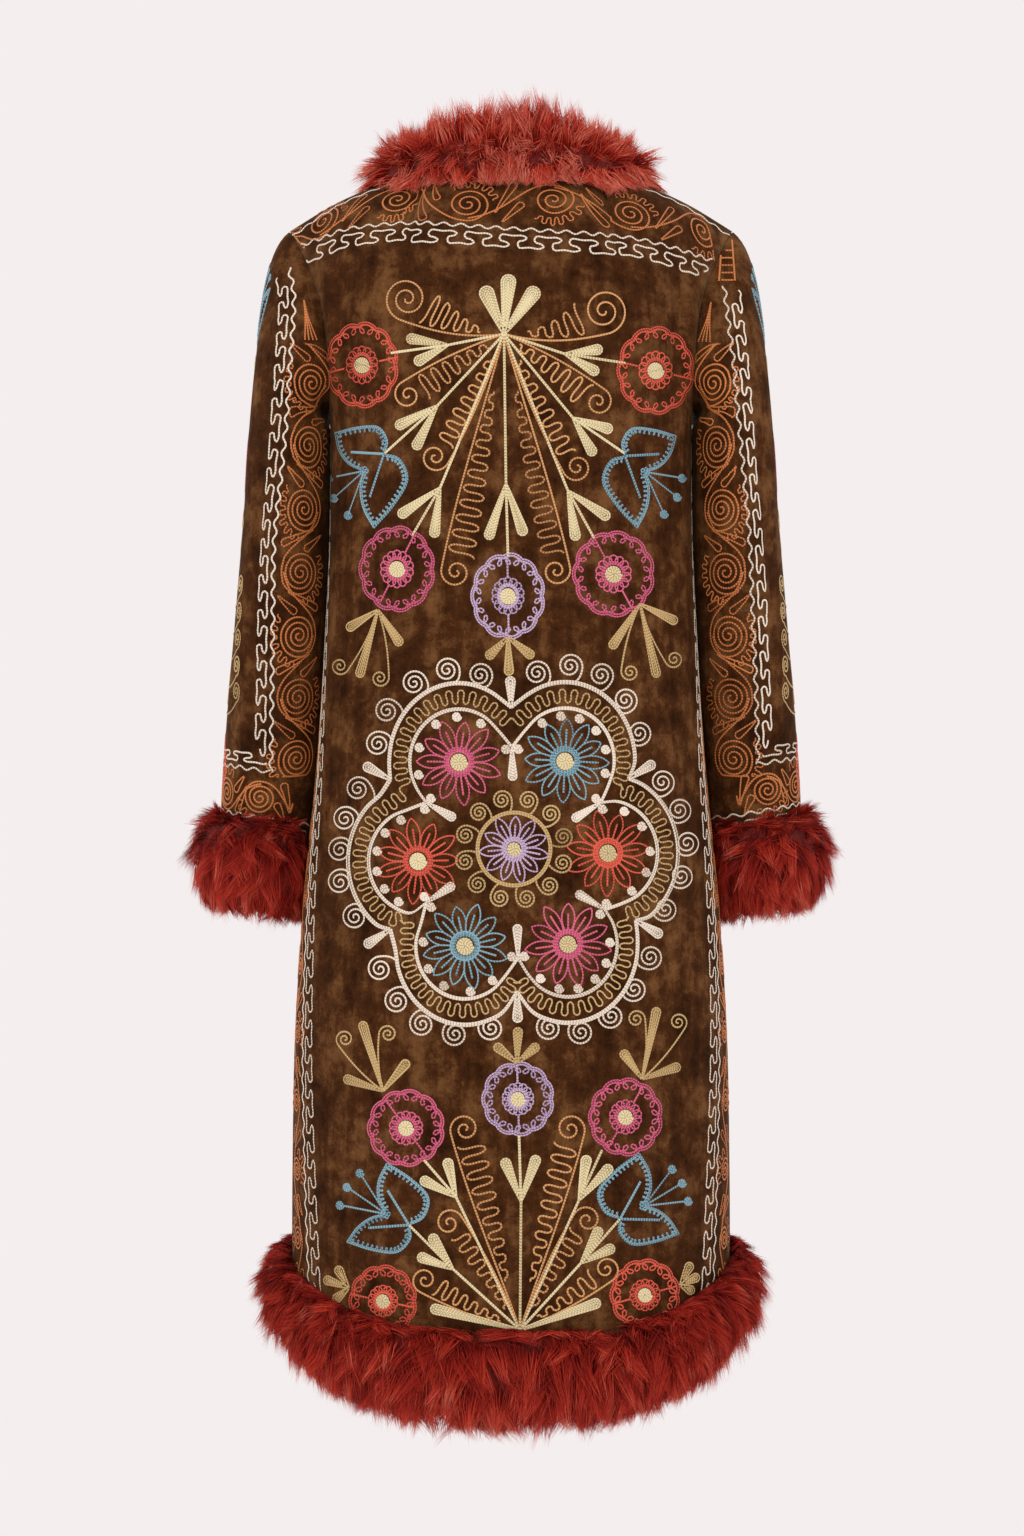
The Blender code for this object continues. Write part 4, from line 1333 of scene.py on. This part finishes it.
# Lobes: hub, middle of the curl, its radius, side, heights of the fringe, period, turns, bow, fringe's foot
LOBES = [
    (UPPER_HUB, (407, 299), 22, -1, (34, 26, 14, 4), 13, 2.2, 0.10, 0.22),
    (UPPER_HUB, (604, 311), 23, 1, (34, 22, 12, 4), 15, 2.2, 0.10, 0.22),
    (UPPER_HUB, (408, 395), 14, 1, (26, 21, 13, 5), 14.5, 1.6, 0.04, 0.16),
    (UPPER_HUB, (598, 402), 14, -1, (27, 21, 13, 5), 14.5, 1.6, 0.04, 0.16),
    (UPPER_HUB, (435, 457), 14.5, -1, (18, 17, 11, 4), 14.5, 1.7, 0.03, 0.2),
    (UPPER_HUB, (577, 467), 14.5, 1, (18, 17, 11, 4), 14.5, 1.7, 0.03, 0.2),
    (UPPER_HUB, (456, 572), 15, 1, (27, 23, 15, 3), 16, 1.7, 0.0, 0.24),
    (UPPER_HUB, (556, 571), 14.5, -1, (22, 20, 13, 3), 16, 1.7, 0.0, 0.24),
    (LOWER_HUB, (465, 1129), 15, -1, (27, 23, 15, 3), 16, 1.7, 0.0, 0.24),
    (LOWER_HUB, (570, 1129), 15, 1, (24, 21, 14, 3), 16, 1.7, 0.0, 0.24),
    (LOWER_HUB, (449, 1223), 14, 1, (18, 15, 9, 3), 14, 1.6, 0.03, 0.2),
    (LOWER_HUB, (587, 1220), 14, -1, (18, 15, 9, 3), 14, 1.6, 0.03, 0.2),
    (LOWER_HUB, (425, 1280), 13, -1, (20, 15, 9, 3), 13, 1.6, 0.04, 0.2),
    (LOWER_HUB, (606, 1269), 13, 1, (20, 15, 9, 3), 13, 1.6, 0.04, 0.2),
]
for hub, curl, *rest in LOBES:
    lobe(hub, spot(curl), *rest)

# Ring flowers: colour, centre, half width, half height, where the stem comes from
RING_FLOWERS = [
    (RED, (362, 365), 36.5, 43, UPPER_HUB),
    (RED, (655.5, 370.5), 38.5, 44, UPPER_HUB),
    (PINK, (397, 569), 38, 43, 437 + 490j),
    (PINK, (613.5, 574), 41, 43, 570 + 492j),
    (LILAC, (508, 596), 37, 43, 506 + 484j),
    (LILAC, (518, 1099), 36, 37, 521 + 1201j),
    (PINK, (406, 1128), 38.5, 38.5, 456 + 1197j),
    (PINK, (625.5, 1117), 37, 39, 579 + 1200j),
    (RED, (383, 1301), 34, 36, LOWER_HUB),
    (RED, (645, 1295), 35, 36, LOWER_HUB),
]
for colour, centre, wide, tall, stem in RING_FLOWERS:
    ring_flower(colour, spot(centre), wide, tall, stem)

# Tulips: base, foot of the stamens, tip of the first petal and of the second, hand, dots
TULIPS = [
    ((384, 454), (364, 471), (335, 433), (374, 528), 1, ((329, 478), (334, 498), (348, 515))),
    ((625, 456), (645, 472), (676, 436), (637, 528), -1, ((682, 478), (677, 497), (664, 514))),
    ((409, 1225), (386, 1214), (387, 1163), (347, 1242), 1, ((360, 1173), (347, 1187), (340, 1205))),
    ((620, 1219), (644, 1206), (639, 1153), (679, 1234), -1, ((672, 1169), (682, 1183), (688, 1201))),
]
for base, foot, first, second, hand, dots in TULIPS:
    petals = [(spot(first), 0.42 * hand, 0.16 * hand), (spot(second), -0.36 * hand, -0.12 * hand)]
    tulip(spot(base), spot(foot), petals, [spot(dot) for dot in dots])

# Sprigs: base, tips of the leaves, middles of the curls, side
SPRIGS = [
    ((378, 610), ((347, 629), (359, 677), (401, 645)), ((340, 666), (380, 678)), -1),
    ((640, 604), ((677, 622), (657, 677), (611, 648)), ((674, 659), (630, 672)), 1),
    ((383, 1091), ((362, 1022), (344, 1078), (408, 1061)), ((345, 1039), (388, 1034)), -1),
    ((642, 1079), ((657, 1008), (622, 1051), (680, 1066)), ((636, 1019), (678, 1022)), 1),
    ((508, 637), ((487, 658), (509, 675), (533, 657)), (), 1),
    ((517, 1063), ((495, 1045), (518, 1028), (538, 1045)), (), 1),
    ((349, 1288), ((324, 1279), (337, 1267), (334, 1301)), (), 1),
    ((680, 1285), ((699, 1276), (691, 1263), (694, 1292)), (), 1),
]
for base, tips, curls, side in SPRIGS:
    sprig(spot(base), tips, curls, side)
for tip in (431 + 1308j, 600 + 1302j):
    filled_petal(CREAM, LOWER_HUB, tip, 9.5)

# The rosette in the middle of the back

ROSETTE = 514 + 849j
# Star flowers: colour, centre, number of petals, turn
STARS = [
    (PINK, (459, 762), 11, 0.30),
    (BLUE, (565, 761), 12, 0.05),
    (RED, (608, 853), 11, 0.45),
    (PINK, (568, 944), 11, 0.15),
    (BLUE, (465, 946), 12, 0.30),
    (RED, (418, 861), 11, 0.55),
]

# Where its arcs meet, on the outer line and on the inner one, and the arcs' half widths and half heights
OUTER_NOTCHES = [(391, 780), (511, 708), (628, 779), (635, 920), (517, 991), (391, 929)]
INNER_NOTCHES = [(427, 803), (512, 748), (600, 803), (604, 909), (518, 957), (427, 902)]
OUTER_ARC = (69, 78)
MIDDLE_ARC = (58.5, 65)
INNER_ARC = (48.5, 52)

# The dots inside an arc, as shares of its length, by turns
DOTS = ((0.17, 0.33, 0.5, 0.64, 0.80), (0.2, 0.33, 0.45, 0.57, 0.70, 0.84)) * 3
DOT = 4.6


def lobed_line(notches, wide, tall):
    """The rosette's outline as one arc round each outer flower, from notch to notch."""
    arcs = []
    for star, start, end in zip(STARS, notches, np.roll(notches, -1)):
        flower = spot(star[1])
        middle = np.angle(flower - ROSETTE)
        low, high = (middle + np.angle((edge - flower) / np.exp(1j * middle)) for edge in (start, end))
        turns = steps(11, low, high)[1:-1]
        arc = flower + wide * np.cos(turns) + 1j * tall * np.sin(turns)
        arcs.append(smooth([start, *arc, end]))
    return arcs


outer_notches = np.array([spot(place) for place in OUTER_NOTCHES])
inner_notches = np.array([spot(place) for place in INNER_NOTCHES])
outer_line = lobed_line(outer_notches, *OUTER_ARC)
inner_line = lobed_line(inner_notches, *INNER_ARC)
for colour, centre, petals, turn in STARS:
    star_flower(colour, spot(centre), 42, petals, turn)
star_flower(LILAC, ROSETTE, 34, 11, 0.2)
for arc in outer_line:
    sew(WHITE, arc, STEM)
    sew(WHITE, arc + 2.2 * np.exp(1j * np.angle(arc - ROSETTE)))
for arc, dots in zip(inner_line, DOTS):
    sew(WHITE, arc)
    sew(WHITE, arc + 1.9 * np.exp(1j * np.angle(arc - ROSETTE)))
    for share in dots:
        place, following = arc[int(share * len(arc)) :][:2]
        ahead = following - place
        disc(WHITE, place + 1j * ahead / abs(ahead) * 6.5, DOT)
for arc in lobed_line(outer_notches * 0.55 + inner_notches * 0.45, *MIDDLE_ARC):
    sew(GOLD, meander(even(arc, 1.0)[3:-3], 11.2, 13.5, 1.72), FINE)
for outer, inner in zip(outer_notches, inner_notches):
    away = (outer - ROSETTE) / abs(outer - ROSETTE)
    filled_petal(WHITE, outer, outer + away * 31, 9)
    filled_petal(WHITE, inner, inner - away * 32, 8)
    for side in (1, -1):
        disc(WHITE, inner + (1j * side * 1.4 - 0.2) * away * 4.4, DOT)

# The curls round it, lobe by lobe
CURLS = [
    (414, 683), (447, 670), (480, 675), (537, 673), (570, 666), (601, 675), (387, 711), (378, 744),
    (358, 789), (345, 819), (340, 850), (625, 700), (639, 733), (662, 782), (679, 810), (687, 843),
    (340, 882), (355, 917), (380, 969), (397, 1001), (422, 1024), (455, 1034), (491, 1028), (681, 876),
    (665, 909), (650, 957), (634, 989), (611, 1016), (581, 1032), (549, 1028),
]
RING_CURLS = 12
whole_outline = np.concatenate(outer_line)


def curl_on(colour, line, centre, radius):
    """A spiral that springs from a line beside it."""
    near = line[np.argmin(np.abs(line - centre))]
    out = (centre - near) / abs(centre - near)
    start = centre + out * 1j * radius
    tail = bezier(near, near + out * 1j * radius * 0.8, start - out * radius * 0.6, start, steps(12))
    sew(colour, np.concatenate([tail, spiral(start, centre, 2.3, -1)[1:]]))


for curl in CURLS:
    curl_on(WHITE, whole_outline, spot(curl), 12.5)
ring = circle(ROSETTE, 35.5)
sew(GOLD, ring)
sew(GOLD, circle(ROSETTE, 37.5))
for k in range(RING_CURLS):
    curl_on(GOLD, ring, ROSETTE + 50.5 * np.exp(1j * (0.28 + 2 * math.pi * k / RING_CURLS)), 9.7)

# Borders in millimetres: a wavy line, an interlocked line beside it, and a band of scrolls

WAVE_HEIGHT, WAVE_PERIOD = 3.2, 15.5
LOCKED_HEIGHT, LOCKED_PERIOD = 13.5, 31.0

# One repeat of the interlocked line, as shares of its period and height: a bar and a hook back, twice
LOCKED_REPEAT = [
    (0.00, 0.78), (0.08, 0.97), (0.34, 0.90), (0.60, 0.96), (0.74, 0.80), (0.66, 0.60), (0.52, 0.52),
    (0.46, 0.30), (0.54, 0.04), (0.82, 0.10), (1.08, 0.05), (1.23, 0.20), (1.16, 0.40), (1.02, 0.50),
]


def wavy_border(start, reach, across):
    """A white wavy line along the path in the hoop, from a start to a reach."""
    sew(WHITE, meander(straight(start, reach) + 1j * across, WAVE_PERIOD, WAVE_HEIGHT, 0.7))


def locked_border(start, reach, across, height=LOCKED_HEIGHT):
    """A white line that hooks back on itself to either side."""
    count = max(1, round((reach - start) / LOCKED_PERIOD))
    period = (reach - start) / (count + 0.25)
    repeats = [complex(k + x, y) for k in range(count) for x, y in LOCKED_REPEAT]
    sew(WHITE, smooth([start + period * r.real + 1j * (across + height * (r.imag - 0.5)) for r in repeats]))


# The two leaves before a scroll, from foot to tip: a share of the gap along, and of the radius across
SCROLL_LEAVES = [((-0.70, -0.60), (-0.42, 1.10)), ((-0.63, -1.15), (-0.36, -0.15))]
LEAF_WIDTH = 6.5

# The fringe beside a scroll: how far off it is, its turn round the scroll, its period and heights
FRINGE_OFF = 6.0
FRINGE_TURN = (0.1, 2.3)
FRINGE_PERIOD = 8.8
FRINGE_HEIGHTS = (5, 8, 9, 8, 5)


def scroll(centre, radius, hand, gap, turns):
    """A scroll with its tail and two leaves in the gap before it, and a fringe on its other side."""
    start = centre + 1j * hand * radius
    back = centre - gap
    tail = bezier(back - 1j * hand * radius * 0.85, centre - gap * 0.5 - 1j * hand * radius * 0.5,
                  centre - radius * 1.2 + 1j * hand * radius, start, steps(30))
    sew(ORANGE, np.concatenate([tail, spiral(start, centre, turns, -hand)[1:]]))
    for ends in SCROLL_LEAVES:
        foot, tip = (centre + x * gap + 1j * y * hand * radius for x, y in ends)
        sew(ORANGE, leaf(foot, tip, LEAF_WIDTH), FINE)
    near = centre + (radius + FRINGE_OFF) * np.exp(-1j * hand * steps(40, *FRINGE_TURN))
    sew(ORANGE, meander(near, FRINGE_PERIOD, FRINGE_HEIGHTS, 1.6), FINE)


def scroll_band(start, reach, across, radius, pitch, turns=2.6, first=-1):
    """Scrolls in a row from the start to the reach, turned to either side by turns."""
    count = max(1, round((reach - start) / pitch))
    pitch = (reach - start) / count
    for k in range(count):
        scroll(start + pitch * (k + 0.72) + 1j * across, radius, first * (-1) ** k, pitch, turns)


def seen_path(name, stops):
    """Where the camera sees the stops of a path on a piece's cloth."""
    picture_hoop(name)
    fine = even(smooth([spot(stop) for stop in stops]), 4.0)
    return np.array([hit[0] for hit in hoop["lay"](fine) if hit])


# Where the strips up a panel begin, as a share of its rows
STRIP_FOOT = 0.03


def strip_path(name, from_edge, at_end, last):
    """A path up a panel, at one distance from its side edge at the hem and at another where it ends."""
    grid = grids[name][:, ::-1] if at_end else grids[name]
    rows = grid[int(STRIP_FOOT * (len(grid) - 1)) : int(last * (len(grid) - 1)) + 1]
    distances = steps(len(rows), *from_edge)
    return np.array([place_at(row, run_lengths(row), far) for row, far in zip(rows, distances)])


def border(kind, name, path, side, scrolls=(), height=LOCKED_HEIGHT):
    """A border along a path: scrolls, as (radius, pitch, turns), or one of the two white lines."""
    reach = border_hoop(name, path, side)
    if kind == "scrolls":
        scroll_band(0, reach, 0, *scrolls)
    elif kind == "locked":
        locked_border(0, reach, 0, height)
    else:
        wavy_border(0, reach, 0)


# Across the top of the back
SHOULDER_LINE = [
    (297, 247), (325, 237), (353, 228), (417, 223), (500, 228), (616, 236), (670, 247), (716, 262),
]
reach = border_hoop("back", seen_path("back", SHOULDER_LINE), -1)
wavy_border(0, reach, 0)
locked_border(6, reach - 4, 12.5)
SHOULDER_SCROLLS = [(313, 225), (391, 200), (467, 204), (557, 200), (633, 214), (709, 232)]
reach = border_hoop("back", seen_path("back", [(282, 246), *SHOULDER_SCROLLS]), -1)
scroll_band(-20, reach + 12, 0, 19.0, 74, 2.6, first=1)

# Up the side seams of the back and the fronts, and up the fronts' own edges
# Columns: kind, distance from the edge at the hem and at the end, end as a share of the panel's rows
SIDE_TOP = HEM_ROWS / (HEM_ROWS + TURN_ROWS + SHOULDER_ROWS)
SIDE_STRIPS = [
    ("scrolls", (0.057, 0.016), 0.7 * SIDE_TOP),
    ("wavy", (0.081, 0.010), 0.9 * SIDE_TOP),
    ("locked", (0.095, 0.010), SIDE_TOP),
]
EDGE_STRIPS = [
    ("scrolls", (0.020, 0.020), 0.93),
    ("wavy", (0.042, 0.042), 0.93),
    ("locked", (0.054, 0.054), 0.93),
]
for name, at_end, strips, scrolls in (
    ("back", True, SIDE_STRIPS, (11.5, 58)),
    ("back", False, SIDE_STRIPS, (11.5, 58)),
    ("front_left", True, SIDE_STRIPS, (11.5, 58)),
    ("front_right", False, SIDE_STRIPS, (11.5, 58)),
    ("front_left", False, EDGE_STRIPS, (14.0, 66)),
    ("front_right", True, EDGE_STRIPS, (14.0, 66)),
):
    for kind, from_edge, last in strips:
        border(kind, name, strip_path(name, from_edge, at_end, last), 1 if at_end else -1, scrolls)

# Down the sleeves: the same borders at the back, and again at the front
SLEEVE_WAVES = {
    "sleeve_left": [
        (289, 268), (294, 300), (290, 366), (287, 413), (281, 476), (274, 545), (273, 620), (272, 690),
        (271, 772),
    ],
    "sleeve_right": [
        (724, 286), (728, 318), (734, 366), (738, 413), (744, 476), (750, 545), (753, 620), (756, 690),
        (758, 764),
    ],
}
SLEEVE_SCROLLS = {
    "sleeve_left": [
        (313, 345), (312, 381), (306, 484), (301, 565), (299, 622), (298, 693), (297, 747), (296, 776),
    ],
    "sleeve_right": [
        (711, 345), (713, 381), (719, 484), (725, 565), (728, 634), (731, 693), (733, 746), (734, 776),
    ],
}

# The tip of the scrolls' band at the shoulder
SLEEVE_TIPS = {"sleeve_left": 304 + 300j, "sleeve_right": 711 + 302j}

# Round the wrist
# Columns: kind, height above the wavy line's corner, and how much wider it goes than that (None: all round)
WRIST_BORDERS = [
    ("wavy", 0.0, 0.0),
    ("locked", 0.010, -0.1),
    ("scrolls", -0.025, 0.5),
    ("wavy", -0.043, None),
    ("locked", -0.053, None),
]
ALL_ROUND = 2.9
NARROW_LOCKED = 9.0


def turned_forward(path):
    """The same path on the sleeve's front: each place is mirrored in the sleeve's middle."""
    middle = smooth_table(SLEEVE_SECTIONS, path[:, 2])[1]
    return path * (1, -1, 1) + points(0, 2 * middle, 0)


def round_path(side, height, first):
    """A level path round a sleeve, from an angle behind its outer side to the same angle before it."""
    turns = steps(60, first, -first)
    return sleeve_ring(turns, height + 0 * turns, side)


for name, side in (("sleeve_left", 1), ("sleeve_right", -1)):
    waves = seen_path(name, SLEEVE_WAVES[name])
    scrolls = seen_path(name, SLEEVE_SCROLLS[name])
    for path_of, hand in ((lambda path: path, -side), (turned_forward, side)):
        reach = border_hoop(name, path_of(waves), hand)
        wavy_border(0, reach, 0)
        locked_border(4, reach - 14, 10.5, 11.5)
        reach = border_hoop(name, path_of(scrolls), hand)
        scroll_band(-6, reach, 0, 20.5, 56, 3.8)
    picture_hoop(name)
    tip = SLEEVE_TIPS[name]
    for aside in (1, 5, 9, 13):
        sew(ORANGE, smooth([tip, tip + side * (1 + aside * 0.25) + 17j, tip + side * aside + 40j]), FINE)
    corner = waves[-1]
    middle_x, middle_y, half_x, half_y = smooth_table(SLEEVE_SECTIONS, corner[2])
    turn = math.atan2((corner[1] - middle_y) / half_y, (side * corner[0] - middle_x) / half_x)
    level = corner[2] - WRIST_TILT * half_x * math.cos(turn)
    for kind, rise, wider in WRIST_BORDERS:
        first = ALL_ROUND if wider is None else turn + wider
        border(kind, name, round_path(side, level + rise, first), side, (15.5, 41, 3.2), NARROW_LOCKED)

# Beside the shoulder seams, a few rows in from them
SHOULDER_INSET = 5
for kind, name, low, high in (
    ("wavy", "back", 0, SHOULDER_COLUMNS),
    ("wavy", "back", -1 - SHOULDER_COLUMNS, None),
    ("locked", "front_left", NECK_COLUMNS, None),
    ("locked", "front_right", 0, SHOULDER_COLUMNS),
):
    border(kind, name, grids[name][-1 - SHOULDER_INSET, low:high], 1, height=NARROW_LOCKED)

# A small ladder at the right shoulder's end
picture_hoop("sleeve_right")
for start, end in ((722 + 238j, 719 + 281j), (732 + 240j, 735 + 281j)):
    sew(ORANGE, straight(start, end))
for rung in steps(6, 243, 280):
    sew(ORANGE, straight(721 + 1j * rung, 733.5 + 1j * rung))


def outer_patch(side, height):
    """Lines are drawn in millimetres round a place on a sleeve's outer side."""
    place = sleeve_ring(np.zeros(1), np.full(1, height), side)[0]
    patch_hoop("sleeve_left" if side > 0 else "sleeve_right", place, (0, 1, 0), (0, 0, -1))


# Down the sleeves' outer sides: a tulip of four petals, a flower, a gold branch of curls and a flower
TULIP_HEIGHT, FLOWER_HEIGHT, BRANCH_HEIGHT, LAST_HEIGHT = -0.143, -0.262, -0.425, -0.545
for side in (1, -1):
    outer_patch(side, TULIP_HEIGHT)
    for hand in (1, -1):
        petals = [(42 * hand - 38j, 0.30 * hand, 0.12 * hand), (28 * hand + 16j, -0.40 * hand, -0.12 * hand)]
        dots = [(6 + 12 * k) * hand - (62 - 7 * k) * 1j for k in range(3)]
        tulip(4 * hand + 6j, 12 * hand - 14j, petals, dots)
    sew(CREAM, straight(6j, 70j), STEM)
    for hand in (1, -1):
        filled_petal(CREAM, 46j, 22 * hand + 26j, 8.5)
    outer_patch(side, FLOWER_HEIGHT)
    ring_flower(PINK, 0j, 34, 36, -60j)
    sprig(40j, ((-26, 62), (0, 84), (26, 62)), (), 1)
    outer_patch(side, BRANCH_HEIGHT)
    sew(GOLD, straight(-66j, 62j), STEM)
    for across in steps(5, -46, 52):
        for hand in (1, -1):
            centre = complex(42 * hand, across)
            stem = straight(1j * (across + 17), centre + 10j, 0.12 * hand)
            sew(GOLD, np.concatenate([stem, spiral(centre + 10j, centre, 2.2, -hand)[1:]]))
    filled_petal(GOLD, -66j, -92j, 8.5)
    outer_patch(side, LAST_HEIGHT)
    ring_flower(RED, 0j, 30, 32, -60j)

# The threads as they lie: half-round cords on the cloth


def add_threads(colour):
    places, stitches, triangles = [], [], []
    count = 0
    for line, normals, width in sewn[colour]:
        ahead = unit(np.gradient(line, axis=0))
        beside = unit(np.cross(normals, ahead)) * width / 2
        along = run_lengths(line) / MILLIMETRE
        shade = random.normal(0, 0.25)
        low = line + normals * THREAD_LIFT
        rows = np.stack([low - beside, line + normals * width * THREAD_CROWN, low + beside], axis=1)
        notes = [points(along, across, shade) for across in (-1, 0, 1)]
        first = count + 3 * np.arange(len(line) - 1)[:, None, None]
        faces = np.array([(0, 3, 1), (1, 3, 4), (1, 4, 2), (2, 4, 5)])[None]
        places.append(rows.reshape(-1, 3))
        stitches.append(np.stack(notes, axis=1).reshape(-1, 3))
        triangles.append((first + faces).reshape(-1, 3))
        count += 3 * len(line)
    look = thread_material("chain_stitch_" + colour, *THREADS[colour])
    places, triangles = np.concatenate(places), np.concatenate(triangles)
    notes = {"stitch": np.concatenate(stitches)}
    joined_triangles("embroidery_" + colour, places, triangles, notes, look)


for colour in THREADS:
    add_threads(colour)

# Floor, light and camera

FLOOR = -1.45
PALE = "#F4EEEE"


def studio():
    """A pale floor that is lit evenly from below, so that it meets the pale room without an edge."""
    bm = bmesh.new()
    bmesh.ops.create_circle(bm, cap_ends=True, segments=96, radius=6.0)
    bmesh.ops.translate(bm, verts=bm.verts, vec=(0, 0, FLOOR))
    mesh = bpy.data.meshes.new("studio_floor")
    bm.to_mesh(mesh)
    bm.free()
    floor = bpy.data.objects.new("studio_floor", mesh)
    made, tree, shader = new_material("lit_white_acrylic", Roughness=1.0, Base_Color=linear("#000000"),
                                      Emission_Color=linear(PALE), Emission_Strength=1.0)
    shader.inputs["Specular IOR Level"].default_value = 0.0
    mesh.materials.append(made)
    bpy.context.scene.collection.objects.link(floor)


studio()
world = bpy.data.worlds.new("soft_room")
world.use_nodes = True
world.node_tree.nodes["Background"].inputs["Color"].default_value = linear(PALE)
world.node_tree.nodes["Background"].inputs["Strength"].default_value = 1.0
bpy.context.scene.world = world
bpy.context.scene.view_settings.view_transform = "Standard"


def soft_light(name, place, aim, size, power):
    light = bpy.data.lights.new(name, "AREA")
    light.size = size
    light.energy = power
    made = bpy.data.objects.new(name, light)
    made.location = place
    made.rotation_euler = (Vector(aim) - Vector(place)).to_track_quat("-Z", "Y").to_euler()
    bpy.context.scene.collection.objects.link(made)


soft_light("key_softbox", (1.6, 2.3, 1.1), (0, 0, -0.5), 1.6, 26)
soft_light("fill_softbox", (-1.9, 1.9, 0.3), (0, 0, -0.6), 1.8, 12)

camera = bpy.data.cameras.new("camera")
camera.sensor_fit = "VERTICAL"
camera.sensor_height = 36
camera.lens = FOCAL_PIXELS / PICTURE_HEIGHT * 36
camera.shift_x = 1 / PICTURE_HEIGHT
seat = bpy.data.objects.new("camera", camera)
seat.location = CAMERA_PLACE
seat.rotation_euler = (QUARTER, 0, math.pi)
bpy.context.scene.collection.objects.link(seat)
bpy.context.scene.camera = seat
